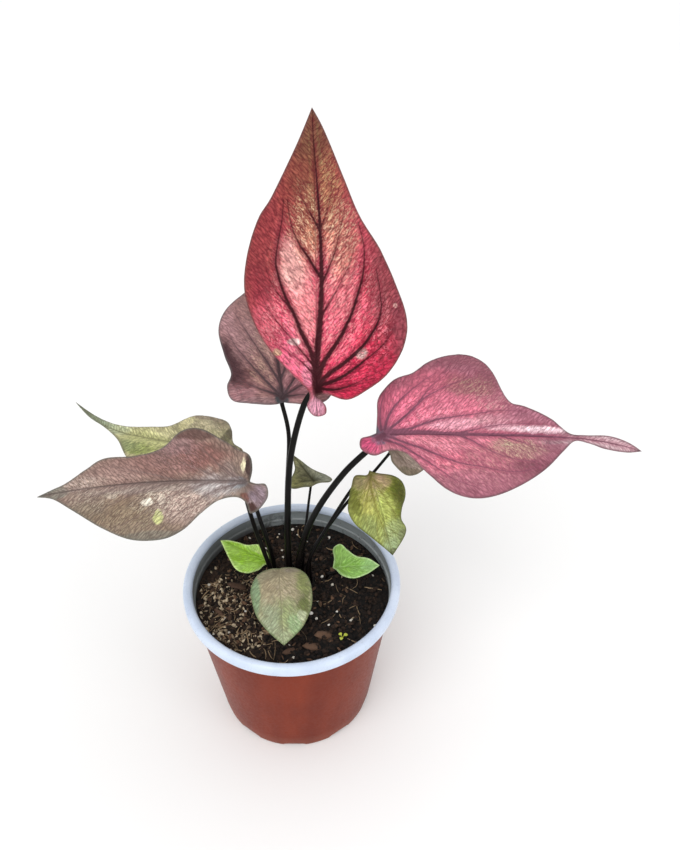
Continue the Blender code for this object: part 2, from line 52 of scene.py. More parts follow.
# The pot, as in the part's source.
POT_HEIGHT = 113.0
RIM_RADIUS = 70.0
RIM_WIDTH = 6.0
RIM_DROP = 7.0
NECK_RADIUS = 65.4
FOOT_RADIUS = 52.0
WALL = 1.2
FLOOR = 2.0
HEEL_WIDTH = 7.0
HEEL_RISE = 3.0
NOTCHES = 10
NOTCH_WIDTH = 15.0
NOTCH_HEIGHT = 2.4
DRAIN_HOLES = 6
DRAIN_CIRCLE = 30.0
DRAIN_RADIUS = 4.0
POT_SIDES = 240
NECK_HEIGHT = POT_HEIGHT - RIM_DROP
NOTCH_FADE = 5.0

# The soil and the tuber under it, as in the part's source. The grit, the dust, the size of the faces and how
# far from the middle loose bits lie are the scene's own.
SOIL_LEVEL = 98.0
SOIL_HEAP = 2.0
SOIL_RELIEF = 3.0
SOIL_CRUMB = 11.0
SOIL_COLLAR = 3.5
SOIL_GRIT = 2.6
SOIL_FRACTAL = (0.8, 2.0, 3)
GRIT_RELIEF = 1.3
DUST_RELIEF = 0.7
DUST_SIZE = 1.3
DUST_FRACTAL = (0.8, 2.0, 2)
SOIL_FACE = 0.62
SOIL_SIDES = 400
LITTER_REACH = 61.0
TUBER_CENTRE = (1.0, 3.0, 66.0)
TUBER_RADII = (20.0, 20.0, 14.0)

# The blades' bent sheets, as in the part's source.
RIB_THICKNESS = 2.2
SMALL_RIB_THICKNESS = 1.4
PUFFING = 1.8
NOTCH_BACK = 4.0
SPINE_STEP = 0.5
SPINE_BACK = 30.0

# The fine blades: the size of their faces, their thickness, and the reach of their veins' grooves and ribs.
LARGE_FACE = 0.8
SMALL_FACE = 0.6
LAMINA = 0.5
MARGIN_THICKNESS = 0.25
PUFF_REACH = 4.0
GROOVE = 0.6
GROOVE_SOFTNESS = 0.3
RIB_DEPTH = 0.75
THICKEST_RIB = 2.0
THIN_MARGIN = 1.5
MARGIN_CROWDING = 1.15
# Wrinkles over the whole blade, each as its height, its width and its layers of finer detail.
WRINKLES = ((0.22, 9, 3), (0.1, 3, 2))
# How the streaks run: their lean from the midrib, their fan round the notch, and the step between the halves.
STREAK_LEAN = 0.9
FAN_SPREAD = 27.0
FAN_RUN = 0.743
HALF_STEP = 61.7
# How clear of the drawn lines the faces' own points stay, in face sizes.
CLEAR_OF_LINES = 0.62
# How far a patch's frayed edge may wander, and the size below which a patch keeps closer to its oval.
TONGUE = 14
SMALL_PATCH = 5
# Distances that stand for no vein near, in millimetres and in vein widths.
NO_VEIN = 99.0
NO_VEIN_SHARE = 9.0

# The stalks: the rings' spacing and sides, the swelling under the blade and at the soil, as shares of the
# radius that fade over a length, and how many radii below the blade the neck stands.
STALK_STEP = 1.5
STALK_SIDES = 20
CROWN_SWELL = 0.35
CROWN_REACH = 4.0
SHEATH_SWELL = 0.3
SHEATH_REACH = 9.0
NECK_RADII = 3.5

# What light does in the living tissue and in the pot's plastic.
LIVING_IOR = 1.45
POLYPROPYLENE_IOR = 1.49

# The studio, in metres: the sky's strength, the sun's and the lamp's place, aim, strength and size, and the
# camera's place, its degrees down, and its lens, for a 36 mm sensor and a frame 850 high.
SKY = 0.86
SUN = ((-0.45, -0.8, 1.0), (0, 0, 0), 1.15, math.radians(45))
FILL = ((0.9, -0.7, 0.8), (0, 0, 0.12), 2.0, 0.5)
SENSOR = 36.0
LENS = SENSOR * 800 / 850
CAMERA_AT = (0.031, -0.346, 0.509)
CAMERA_DOWN = 38.1
FLOOR_HALF = 4

# Each leaf's shape, as in the part's source.
LEAVES = {
    "upright": dict(
        at=(18, 10, 255), heading=90, rise=60, roll=0, length=145, arch=-8, sway=1, droop=10, fold=(8, 6),
        curl=(-5, -6), ripple=1.2, waves=3, root=(0, 3),
        route=[(-2, 5, 125), (-1, 6, 165), (2, 9, 205), (10, 15, 238)], radius=(2.3, 1.7),
        left=[(-9, -5), (-14, -5), (-15, 1), (-10, 5), (-2, 4), (9, 14), (21, 25), (34, 33), (52, 38),
              (72, 36), (90, 30), (102, 22), (126, 9)],
        right=[(-3, -6), (-6, -17), (-1, -28), (8, -40), (23, -49), (38, -51), (55, -45), (74, -35),
               (91, -24), (110, -16), (134, -6)],
    ),
    "behind": dict(
        at=(-2, 25, 239), heading=99, rise=20, roll=4, length=102, arch=10, droop=10, fold=(6, 6),
        curl=(-2, -4), ripple=1.5, waves=2, root=(-2, 10),
        route=[(-3, 13, 130), (-1, 16, 180), (1, 19, 215)], radius=(1.7, 1.2),
        left=[(-6, 6), (-5, 20), (-2, 29), (8, 31), (18, 28), (32, 31), (50, 33), (68, 27), (86, 13)],
        right=[(-6, -6), (-8, -16), (-3, -27), (12, -32), (34, -32), (58, -26), (80, -14)],
    ),
    "right": dict(
        at=(55, 0, 232), heading=5, rise=-4, roll=24, length=155, arch=8, droop=20, tail_at=0.7,
        tail_sway=-16, twist=20, fold=(12, 4), curl=(-5, -5), ripple=1.2, waves=3, root=(6, 2),
        route=[(4.5, 1, 125), (14, 0, 165), (33, 0, 202)], radius=(2.3, 1.7),
        left=[(-3, 10), (-2, 20), (3, 28), (10, 35), (20, 39.5), (28, 46), (35, 50), (45, 53), (55, 53.5),
              (62, 50.5), (67, 45), (70, 37), (72, 28), (76, 20.5), (84, 18), (98, 11), (109, 2.5),
              (120, 2), (134, 3.5), (146, 2.5)],
        right=[(-8, -2), (-13, -4), (-13, -10), (-6, -14), (3, -11), (12, -13), (23, -24), (35, -34),
               (48, -38), (62, -36), (78, -29), (92, -20), (104, -9), (112, -2.5), (120, -3), (132, -5),
               (146, -3.5)],
    ),
    "left": dict(
        at=(-24, -10, 205), heading=178, rise=1, roll=-20, length=123, arch=16, sway=6, droop=50,
        fold=(0, 22), curl=(-5, -2), ripple=1.5, waves=3, root=(-7, 0),
        route=[(-14, -1, 125), (-20, -4, 160), (-23, -7, 185)], radius=(1.6, 1.2),
        left=[(-8, 1), (-13, 1), (-15, 8), (-11, 16), (-6, 19), (-3, 13), (3, 10), (13, 12), (22, 19),
              (32, 29), (44, 34), (62, 33), (80, 25), (98, 13), (112, 3.5)],
        right=[(-5, -7), (-3, -15), (4, -19), (13, -24), (25, -30), (36, -29), (47, -20), (62, -16),
               (80, -16), (92, -11), (104, -5), (113, -2.5)],
    ),
    "left_rear": dict(
        at=(-31, 25, 197), heading=164, rise=-2, roll=0, length=117, arch=0, droop=25, tail_at=0.55,
        tail_drop=-27, tail_sway=-22, fold=(0, 0), curl=(-8, -2), ripple=1.2, waves=2, root=(-8, 7),
        route=[(-14, 9, 130), (-21, 14, 160), (-26, 19, 182)], radius=(1.6, 1.2),
        left=[(-5, 6), (-7, 14), (0, 24), (14, 28), (34, 29), (52, 26), (66, 18), (78, 6), (90, 1),
              (104, 1)],
        right=[(-1, -4), (6, -8), (12, -20), (20, -30), (30, -33.5), (40, -33), (45, -28), (48, -20),
               (52, -13.5), (60, -10.5), (78, -7), (92, -4.5), (104, -2.5)],
    ),
    "rear_small": dict(
        at=(13, 45, 157), heading=130, rise=20, roll=0, length=23, arch=0, fold=(2, 2), ripple=0.3,
        root=(5, 9), route=[(7, 20, 120), (10, 34, 142)], radius=(1.1, 0.8), small=True,
        left=[(-4, 4), (-2, 9), (0, 15), (3, 17), (7, 13), (12, 6), (17, 3)],
        right=[(-5, -3), (-7.5, -8), (-6.5, -11.5), (-2, -10), (3, -6.5), (8, -4), (16, -2)],
    ),
    "right_low": dict(
        at=(50, 12, 189), heading=-61, rise=-50, roll=0, length=51, arch=16, droop=40, fold=(6, 6),
        curl=(-12, -12), ripple=0.6, waves=2, root=(11, 0),
        route=[(11, 2, 125), (26, 8, 157), (41, 14, 182)], radius=(1.3, 1.0), small=True,
        left=[(-1, 4), (4, 14), (10, 19), (18, 19), (25, 14), (31, 11.5), (37, 13), (41, 11.5), (46, 6)],
        right=[(-2, -3), (-4, -10), (1, -14), (8, -18), (15, -20.5), (24, -18.5), (35, -11), (45, -4)],
    ),
    "right_rear": dict(
        at=(63, 25, 200), heading=14, rise=-14, roll=22, length=34, arch=20, fold=(5, 5), curl=(-8, -8),
        ripple=0.5, waves=2, root=(10, 6), route=[(13, 10, 126), (32, 16, 158), (50, 21, 182)],
        radius=(1.2, 0.9), small=True,
        left=[(-3, 4), (-3, 10), (5, 15), (15, 15), (26, 9)],
        right=[(-3, -4), (-2, -10), (5, -17), (12, -17), (20, -12), (28, -6)],
    ),
    "front": dict(
        at=(-7, -8, 125.6), heading=-84, rise=-5, roll=0, length=47, arch=24, droop=40, fold=(4, 4),
        curl=(-10, -10), ripple=0.5, waves=2, root=(-3, -5), route=[(-6, -5, 114)], radius=(1.4, 1.1),
        small=True,
        left=[(-4, 5), (-3, 11), (2, 17), (10, 19.5), (22, 19), (32, 15), (39, 10)],
        right=[(-4, -4), (-3, -10), (1, -15), (10, -18.5), (18, -18), (28, -15.5), (38, -9)],
    ),
    "bright_left": dict(
        at=(-19, 15.5, 112), heading=157.6, rise=10, roll=0, length=33, arch=0, fold=(12, 12), ripple=0.4,
        root=(-11, 11), route=[(-14, 13, 106)], radius=(1.1, 0.8), small=True,
        left=[(-2, 6), (-1, 11), (3, 17), (8, 19), (13, 18), (20, 12.5), (27, 6)],
        right=[(-1, -4), (3, -7), (7, -8.5), (11, -7.5), (15, -5), (22, -4), (28, -2.5)],
    ),
    "bright_right": dict(
        at=(30, 13, 108), heading=-4, rise=12, roll=0, length=27.5, arch=8, fold=(16, 16), ripple=0.4,
        root=(15, 8), route=[(23, 11, 103.5)], radius=(1.1, 0.8), small=True,
        left=[(-3, 6), (-4, 14), (1, 17), (6, 12), (12, 7), (20, 5)],
        right=[(-1, -4), (4, -11), (12, -14), (21, -9)],
    ),
}

# Each leaf's look. slot: its finish in the record. ground, edge, rib, seam, back: the colours of the tissue,
# the thin margin, the veins, the furrows they lie in and the underside. net, show: how strongly the finest
# and the main veins show. mottle: how far the tissue varies from light to dark. patches: soft-edged areas of
# colour laid on in turn, as x, y, the two radii, the colour and its strength. flecks: the same, broken into
# specks. veins: each one's half widths at its foot and tip, and its points.
LOOKS = {
    "upright": dict(
        slot="leaf_red", ground="96483F", edge="6E4A48", rib="34040F", furrow_shade="741029", back="A8747C",
        net=0.6, mottle=0.38,
        patches=[
            (40, -6, 62, 36, "E05670", 0.9), (12, -26, 24, 20, "D4244C", 0.9),
            (8, -12, 16, 12, "E42858", 0.7), (24, -38, 20, 8, "B82444", 0.7),
            (-1, -20, 6, 16, "AC163A", 0.8), (32, -12, 20, 9, "F0607C", 0.7),
            (22, 12, 18, 11, "EC6C8C", 0.85), (36, 24, 16, 9, "E4506E", 0.8),
            (56, 27, 12, 7, "A83044", 0.7), (44, 7, 22, 7, "F08E92", 0.8), (66, 13, 14, 8, "FFC0B8", 1.0),
            (36, 26, 13, 7, "EC7884", 0.6), (55, -14, 20, 8, "EC7A84", 0.7),
            (58, -28, 12, 5, "A4283C", 0.7), (76, -14, 16, 8, "DC8C78", 0.75),
            (80, 26, 30, 9, "9A4240", 0.85), (62, -38, 36, 8, "944A50", 0.8),
            (36, -47, 30, 5, "8E4A54", 0.8), (84, 3, 18, 8, "BE7A5C", 0.75),
            (100, -4, 24, 12, "A2664A", 0.8), (100, 12, 14, 8, "9C4C40", 0.8),
            (116, 4, 20, 12, "8A5840", 0.8), (134, 0, 16, 12, "6E5A3C", 0.85),
            (-9, 0, 7, 7, "DC9EB3", 0.95), (8, 4, 8, 4, "E08AA4", 0.7),
            (19, -24.5, 3.2, 3.6, "EED0C8", 1.0), (25.5, 12, 2.0, 3.8, "F2D8D4", 0.95),
            (20, 21, 2.2, 2.6, "E0C49C", 0.9), (45, -44, 1.6, 1.6, "E0B0A8", 0.8),
            (5, -0.5, 11, 3.2, "22060E", 0.9),
        ],
        flecks=[
            (88, 4, 22, 11, "F0D2A4", 0.85), (80, -14, 24, 9, "F2DAAE", 0.85),
            (34, 24, 16, 10, "FFA8B0", 0.5), (106, -8, 20, 7, "DCBA84", 0.7),
            (46, -4, 50, 34, "FFC2BC", 0.5), (14, -28, 22, 18, "F05A78", 0.5),
            (58, 28, 14, 6, "7A1E2E", 0.6), (34, -36, 20, 8, "F09AA4", 0.4),
        ],
        veins=[
            (2.6, 0.3, [(-2, -1.5), (4, -0.6), (12, 0), (22, -0.8), (34, -2), (48, -3), (62, -3.4),
                        (78, -3.1), (94, -2.5), (110, -1.6), (128, -0.5), (140, 0)]),
            (1.6, 0.3, [(8, 0), (18, 2.2), (25, 5), (32, 8.4), (40, 11.4), (46, 14.4), (52, 17), (60, 19.4),
                        (68, 20.8), (78, 19.4), (90, 17), (100, 16)]),
            (0.5, 0.2, [(44, 14), (50, 19), (56, 23), (64, 26)]),
            (0.9, 0.25, [(60, -2.6), (66, 1), (72, 4.6), (78, 8.6), (88, 12.4), (100, 14)]),
            (0.6, 0.2, [(84, -2.6), (91, 1), (98, 5), (106, 8)]),
            (0.5, 0.2, [(13, 2), (22, 9), (30, 15.5), (38, 22), (46, 27), (56, 31)]),
            (0.35, 0.2, [(8, 1.5), (14, 7), (20, 15), (25, 22)]),
            (1.6, 0.3, [(6, -1), (14, -4), (20, -8), (26, -12), (34, -16.4), (42, -20), (50, -22.6),
                        (58, -25), (66, -26.2), (76, -26), (88, -23)]),
            (1.5, 0.3, [(3, -2), (9, -8), (13, -14), (18, -20), (23, -25.4), (29, -30), (36, -34),
                        (44, -36), (54, -35), (64, -33)]),
            (1.2, 0.3, [(2, -2.5), (4, -9), (7, -15), (11, -21), (15, -26), (19, -31.4), (24, -37),
                        (30, -42)]),
            (0.9, 0.25, [(0, -3), (-0.5, -9), (0.5, -15), (3, -22), (7, -29)]),
            (0.6, 0.2, [(56, -3.4), (64, -7), (73, -10.6), (84, -13.4), (96, -16)]),
            (0.4, 0.2, [(38, -2.4), (48, -8.4), (57, -13.6), (66, -18), (76, -21)]),
            (0.4, 0.15, [(84, -3), (92, -6), (101, -8.6), (112, -9.8)]),
        ],
    ),
    "behind": dict(
        slot="leaf_mauve", ground="AE8482", edge="625A5C", rib="554448", furrow_shade="6E4A50", back="8E7C80",
        net=0.35, mottle=0.28,
        patches=[
            (18, 12, 18, 6, "A47A70", 0.7), (34, 6, 22, 7, "B48E84", 0.7), (44, 20, 22, 8, "BA9292", 0.7),
            (60, 28, 18, 7, "CCA0A2", 0.8), (5, -9, 9, 9, "C48A92", 0.8), (30, -18, 26, 14, "BC8890", 0.6),
            (4, 24, 9, 9, "C08E92", 0.8), (76, 6, 26, 20, "AE867C", 0.6), (-4, 14, 3, 14, "94787A", 0.6),
            # The dark band from x 14 to 31 beside the wavy margin is painted shadow of the fold there.
            (14, 21, 9, 5.5, "5A3430", 0.8), (19, 27, 13, 6.5, "240C0E", 1.0),
            (31, 31, 12, 5.5, "200A0C", 1.0), (0, 0.5, 8, 4.4, "50585C", 1.0),
        ],
        flecks=[
            (22, 11, 18, 8, "D0B09A", 0.7), (5, 24, 8, 8, "8A4048", 0.5), (42, 8, 22, 12, "CCB4A4", 0.5),
            (8, 6, 8, 5, "D8B49C", 0.5),
        ],
        veins=[
            (1.4, 0.3, [(-1, 0), (12, 0), (30, 0), (60, 0), (96, 0)]),
            (0.9, 0.25, [(2, 2), (9, 7), (17, 12), (27, 18), (38, 24), (50, 28)]),
            (0.9, 0.25, [(1, 2), (4, 9), (8, 17), (13, 25)]),
            (0.8, 0.25, [(10, 0.5), (22, 5), (36, 11), (50, 17), (64, 22)]),
            (0.6, 0.2, [(34, 0.5), (48, 5), (64, 10), (78, 13)]),
            (0.9, 0.25, [(2, -2), (10, -7), (19, -13), (30, -20), (42, -25)]),
            (0.8, 0.25, [(1, -2), (5, -9), (9, -17), (14, -25)]),
            (0.7, 0.2, [(0, -2), (0, -9), (0, -17), (3, -24)]),
            (0.7, 0.25, [(12, -0.5), (26, -6), (42, -13), (58, -19)]),
            (0.6, 0.2, [(40, -0.5), (54, -5), (70, -9)]),
        ],
    ),
    "right": dict(
        slot="leaf_pink", ground="946670", edge="655054", rib="7A4A5C", furrow_shade="A05068", back="A8848E",
        net=0.5, mottle=0.3,
        patches=[
            (34, 2, 50, 32, "DC7E90", 0.85), (12, 12, 17, 12, "EE7490", 0.9),
            (22, 22, 16, 8, "EC7890", 0.8), (-1, 19, 6, 15, "A84C60", 0.7), (45, 18, 14, 6, "EE8096", 0.85),
            (30, 34, 18, 8, "D46C7E", 0.6), (53, 29, 15, 8, "8A5E5A", 0.85),
            (40, 6, 18, 4.5, "E6A2B2", 0.8), (66, 8, 14, 5, "D2A0A8", 0.7), (26, -8, 22, 6, "DA8090", 0.8),
            (36, -17, 11, 5, "F07C92", 0.8), (60, -16, 18, 7, "C27482", 0.7),
            (76, -9, 16, 6, "A6887A", 0.8), (50, -28, 22, 6, "B07682", 0.7),
            (86, -20, 18, 5, "6E4A50", 0.8), (34, -32, 20, 6, "9A6A74", 0.7),
            (46, 49, 28, 6, "84585E", 0.8), (66, 40, 8, 12, "84585C", 0.8), (88, 13, 18, 7, "AC7886", 0.85),
            (104, -4, 12, 5, "94707A", 0.7), (90, 3.6, 18, 2.6, "F4D2DA", 1.0),
            (70, 4.5, 14, 2.4, "E8B8C2", 0.8), (132, -1, 26, 7, "D4BABE", 1.0),
            (4, 26, 5, 8, "B4586E", 0.6), (0, 0, 9, 4.6, "5E6C7C", 1.0), (-3, -4, 5, 4, "6C6C7E", 0.9),
            (-9, -8, 6, 6, "CC5078", 0.9),
        ],
        flecks=[
            (53, 29, 15, 8, "D2BC9E", 0.6), (77, -8, 17, 7, "E6D4B0", 0.85), (64, 20, 14, 7, "DCB8AE", 0.6),
            (30, 2, 36, 28, "F8B0BE", 0.5), (50, -24, 34, 10, "E4AAA8", 0.5),
            (14, 30, 16, 9, "A03A58", 0.4), (60, -14, 20, 7, "D8AC9C", 0.5), (96, -6, 16, 8, "C8A0A2", 0.4),
        ],
        veins=[
            (1.8, 0.3, [(-3, -3), (2, -0.4), (10, 0.4), (24, 0.6), (40, 0), (60, 0), (84, 0.2), (110, -0.2),
                        (134, -0.6), (150, 0)]),
            (0.9, 0.25, [(3, 2), (8, 6), (14, 11), (20, 17), (26, 22.4), (32, 26), (38, 29.4), (46, 33),
                         (54, 37)]),
            (0.8, 0.25, [(1, 2), (3, 9), (7, 15.6), (12, 21.4), (18, 27), (25, 33), (32, 38)]),
            (0.5, 0.2, [(20, 17), (26, 25), (33, 33), (41, 41)]),
            (0.8, 0.25, [(6, 1.4), (16, 3), (24, 6), (32, 8.6), (40, 10), (50, 11.6), (60, 13.4), (70, 15),
                         (84, 15)]),
            (0.7, 0.25, [(-1, 2), (-1.4, 10), (0, 18), (3, 26)]),
            (0.5, 0.25, [(42, 0.4), (54, 3.2), (64, 5.4), (78, 7), (92, 7.4)]),
            (0.8, 0.25, [(3, -2), (12, -6), (20, -9), (28, -12.4), (36, -16), (44, -18.4), (54, -20),
                         (64, -22), (76, -22.4), (88, -19)]),
            (0.8, 0.25, [(0, -4), (8, -7), (16, -12), (24, -17.4), (31, -22.6), (39, -28), (50, -32)]),
            (0.6, 0.25, [(42, -0.4), (50, -4), (56, -8), (64, -12), (74, -15), (86, -16)]),
            (0.5, 0.2, [(66, 0), (75, -3), (85, -6), (96, -7.6)]),
        ],
    ),
    "left": dict(
        slot="leaf_brown", ground="947F72", edge="6A6A62", rib="746460", furrow_shade="725753", back="90817D",
        net=0.45, show=0.6, mottle=0.2,
        patches=[
            (60, 24, 40, 13, "877862", 0.7), (52, 33, 40, 4, "7B7B6E", 0.7),
            (30, 15, 18, 11, "C4A89E", 0.75), (74, 16, 24, 9, "8B775E", 0.6), (50, 3, 44, 4, "A89A92", 0.6),
            (15, 3, 14, 7, "C4BDBB", 0.9), (44, -11, 34, 9, "926862", 0.75),
            (24, -15, 15, 8, "81514B", 0.7), (38, -21, 12, 6, "927074", 0.6),
            (27, -27, 14, 4, "60433E", 0.8), (76, -6, 20, 8, "A4857D", 0.7), (94, -2, 14, 6, "AF9A8D", 0.7),
            (113, 0, 12, 4, "8B8B7F", 0.8), (92, 14, 14, 6, "857B68", 0.6),
            (46, 21.5, 3.2, 4.4, "DAE194", 0.95), (53.5, 12.5, 3.4, 2.4, "FEF5E3", 1.0),
            (45, 11, 2.6, 3, "E9D8C6", 0.8), (75, 7, 3.4, 1.6, "D8C8B5", 0.8),
            (-4, -10, 3, 9, "3E2C2C", 0.9), (0, -9, 1.5, 4.5, "EFE3BF", 0.95),
            (-10, 9, 7, 8, "988590", 0.9), (-6, 17, 4, 4, "34130F", 0.95), (-2, 11, 3, 4, "794B40", 0.8),
            (3, 1, 6, 4, "A2A6AB", 0.8), (8, -6, 6, 5, "897973", 0.7),
        ],
        flecks=[
            (32, 14, 20, 10, "F1E1D0", 0.85), (50, 12, 14, 8, "FAEDD8", 0.75),
            (86, 6, 20, 10, "CEC1AD", 0.6), (62, 22, 26, 10, "BBAF92", 0.5),
            (38, -14, 20, 9, "C8A09E", 0.5), (94, -3, 14, 6, "E5D0C8", 0.6), (70, -4, 18, 8, "C8A69C", 0.5),
        ],
        veins=[
            (1.6, 0.35, [(-1, 0), (14, 0), (40, 0), (80, 0), (118, 0)]),
            (0.7, 0.25, [(4, 2), (15, 6), (25, 12), (35, 20), (45, 28)]),
            (0.6, 0.25, [(18, 0.6), (33, 6), (46, 12), (58, 20), (72, 26)]),
            (0.6, 0.2, [(42, 0.6), (58, 5), (74, 11), (88, 17)]),
            (0.5, 0.2, [(70, 0.6), (84, 4.6), (98, 8.6)]),
            (0.7, 0.25, [(3, -2), (11, -7), (19, -14), (27, -22)]),
            (0.6, 0.2, [(12, -1), (25, -6.6), (37, -11.4), (48, -16)]),
            (0.6, 0.2, [(38, -0.6), (53, -5), (68, -9), (80, -12)]),
            (0.6, 0.2, [(-3, 2), (-8, 6), (-11, 11)]),
        ],
    ),
    "left_rear": dict(
        slot="leaf_olive", ground="BAB28C", edge="75705F", rib="86845F", back="A6A682", net=0.35, show=0.5,
        mottle=0.22,
        patches=[
            (60, 4, 18, 12, "C2C584", 0.85), (60, 11, 10, 5, "99A85B", 0.85),
            (72, 10, 10, 5, "7B885F", 0.8), (54, -7, 10, 5, "E0D9A8", 0.7), (30, -23, 16, 8, "C2B595", 0.8),
            (30, -31, 16, 4, "998675", 0.9), (43, -20, 4, 9, "E7DEA8", 0.8),
            (12, -13, 4, 10, "50453A", 0.85), (20, -26, 6, 6, "847263", 0.7),
            (84, -2, 10, 5, "C2CBA4", 0.8), (104, 0, 18, 6, "95A691", 0.95),
            (12, 14, 22, 16, "A8A279", 0.6),
        ],
        flecks=[
            (32, -22, 16, 8, "E5DAB5", 0.6), (58, 4, 18, 10, "E5E5A6", 0.5),
            (20, 16, 26, 14, "C5BE93", 0.4),
        ],
        veins=[
            (1.4, 0.4, [(-1, 0), (16, 0), (50, 0), (84, -1), (112, -1)]),
            (0.7, 0.25, [(2, 2), (8, 10), (16, 17), (26, 23)]),
            (0.6, 0.25, [(8, 1), (22, 8), (36, 15), (50, 20)]),
            (0.6, 0.25, [(30, 0.6), (44, 6), (58, 11), (68, 13)]),
            (0.7, 0.25, [(3, -2), (10, -9), (17, -18), (24, -27)]),
            (0.7, 0.25, [(8, -1), (20, -8), (31, -17), (38, -26)]),
            (0.6, 0.2, [(28, -0.6), (42, -6), (54, -9)]),
        ],
    ),
    "rear_small": dict(
        slot="leaf_olive", ground="A4A477", edge="676751", rib="53533F", back="8D8B72", net=0.3,
        patches=[
            (4, 12, 9, 6, "9F9F60", 0.8), (9, 2, 6, 4, "77745A", 0.7), (-3, -8, 6, 6, "B5BAAA", 0.9),
            (6, -3, 9, 3, "9FA18D", 0.8), (4, 5, 3, 5, "45432D", 0.6),
        ],
        flecks=[(6, 8, 10, 8, "CAC794", 0.5)],
        veins=[
            (0.7, 0.25, [(-1, 0), (8, 0), (20, 0)]),
            (0.4, 0.2, [(0, 1), (2, 7), (3, 13)]),
            (0.4, 0.2, [(-1, -1), (-4, -6)]),
            (0.4, 0.2, [(4, 0.4), (7, 5), (9, 8)]),
        ],
    ),
    "right_low": dict(
        slot="leaf_olive", ground="A4AF5B", edge="52562B", rib="847F3A", back="A0AD6E", net=0.35, show=0.7,
        mottle=0.22,
        patches=[
            (10, 12, 9, 6, "869732", 0.85), (18, 15, 12, 6, "3A490F", 1.0), (27, 10, 8, 4, "617023", 0.85),
            (4, 2, 6, 10, "CFB191", 0.9), (22, 0, 13, 8, "BCCB6A", 0.9), (14, -7, 9, 6, "C0BC66", 0.7),
            (38, 5, 9, 9, "99AD79", 0.85), (46, 0, 7, 8, "A0B88C", 0.9), (30, -11, 10, 6, "91A266", 0.8),
            (10, -15, 10, 5, "596120", 0.9), (-1, -10, 5, 5, "99866E", 0.8), (41, 10, 5, 4, "667056", 0.8),
            (49, 1, 3, 3, "545B4E", 0.8),
        ],
        flecks=[
            (8, -3, 9, 9, "E5CBA6", 0.6), (26, 0, 18, 12, "DEE78F", 0.5), (38, 2, 10, 8, "CBDAAB", 0.5),
        ],
        veins=[
            (0.8, 0.25, [(-1, 0), (4, -2), (12, -3), (24, -3), (38, -1), (47, 0)]),
            (0.5, 0.2, [(1, 0), (6, 3), (12, 8), (17, 14)]),
            (0.5, 0.2, [(1, -0.4), (8, 2), (17, 5), (27, 8)]),
            (0.5, 0.2, [(1, -2), (6, -7), (12, -13)]),
            (0.5, 0.2, [(3, -2.4), (11, -7), (21, -11), (30, -12)]),
            (0.4, 0.2, [(20, -3), (29, 0), (38, 5)]),
            (0.4, 0.2, [(22, -3), (31, -6), (39, -7)]),
        ],
    ),
    "right_rear": dict(
        slot="leaf_beige", ground="BAAC9B", edge="72705B", rib="928675", back="AEA390", net=0.25,
        patches=[
            (12, -9, 8, 5, "D2C5B6", 0.85), (6, -15, 10, 3, "817D64", 0.8), (24, 0, 10, 9, "A5997F", 0.7),
            (4, 4, 8, 8, "AA9988", 0.6),
        ],
        flecks=[(14, -6, 12, 8, "E1D4C5", 0.5)],
        veins=[
            (0.7, 0.25, [(-1, 0), (12, 0), (30, 0)]),
            (0.4, 0.2, [(1, 1), (6, 6), (12, 11)]),
            (0.4, 0.2, [(1, -1), (5, -7), (10, -13)]),
            (0.4, 0.2, [(8, -0.4), (15, -5), (22, -7)]),
            (0.4, 0.2, [(8, 0.4), (15, 5), (22, 8)]),
        ],
    ),
    "front": dict(
        slot="leaf_sage", ground="9E9C7A", edge="6D7E53", rib="C1B696", furrow_shade="968D71", back="969A78",
        net=0.25, show=0.4, mottle=0.15,
        patches=[
            (8, 2, 14, 13, "B2A388", 0.85), (8, 15, 11, 5, "768347", 0.85), (24, 14, 8, 5, "5C6B31", 0.9),
            (2, -8, 5, 8, "A59C83", 0.7), (14, -8, 11, 4, "A99A80", 0.7), (28, 3, 10, 6, "9AA974", 0.8),
            (35, 8, 7, 5, "92B280", 0.9), (32, -7, 11, 6, "9EAD8D", 0.85), (14, -16, 14, 4, "7A9A76", 0.85),
            (42, 0, 5, 5, "ABBA92", 0.8), (30, 12, 4, 3, "C1CBA7", 0.8), (-2, 8, 3, 5, "988D80", 0.7),
        ],
        flecks=[
            (12, 4, 12, 10, "CBBEA7", 0.5), (31, 8, 8, 6, "D0DAB4", 0.5), (26, -8, 14, 7, "C1C9A9", 0.4),
        ],
        veins=[
            (0.6, 0.2, [(-1, 0), (12, 0), (28, 0), (44, 0)]),
            (0.4, 0.2, [(1, 1), (7, 6), (13, 12), (19, 16)]),
            (0.4, 0.2, [(4, 0.4), (13, 5), (22, 10), (29, 13)]),
            (0.35, 0.2, [(16, 0.4), (25, 4), (34, 8)]),
            (0.4, 0.2, [(1, -1), (7, -6), (13, -12), (18, -16)]),
            (0.4, 0.2, [(4, -0.4), (13, -5), (22, -10), (29, -13)]),
            (0.35, 0.2, [(16, -0.4), (25, -4), (34, -8)]),
        ],
    ),
    "bright_left": dict(
        slot="leaf_lime", ground="A9DC45", edge="E8FFB3", rib="BDED67", furrow_shade="8BBC31", back="ACD965",
        net=0.3, mottle=0.16,
        patches=[
            (12, 8, 8, 5, "8FC12B", 0.8), (6, -5, 7, 3, "EBFFAA", 0.85), (14, -5, 8, 3, "CEFB89", 0.8),
            (4, 12, 6, 6, "CCF984", 0.7), (26, 4, 9, 6, "BCE774", 0.8), (15, 16, 9, 3.5, "C5ED89", 0.8),
            (8, 1, 8, 3, "9DD531", 0.8),
        ],
        flecks=[(12, 4, 14, 10, "DEFF79", 0.4)],
        veins=[
            (0.5, 0.2, [(-1, 0), (12, 0), (30, 0)]),
            (0.35, 0.2, [(1, 1), (6, 7), (11, 14)]),
            (0.35, 0.2, [(6, 0.4), (14, 5), (21, 9)]),
            (0.35, 0.2, [(1, -1), (5, -4), (8, -7)]),
            (0.35, 0.2, [(10, -0.4), (17, -3)]),
        ],
    ),
    "bright_right": dict(
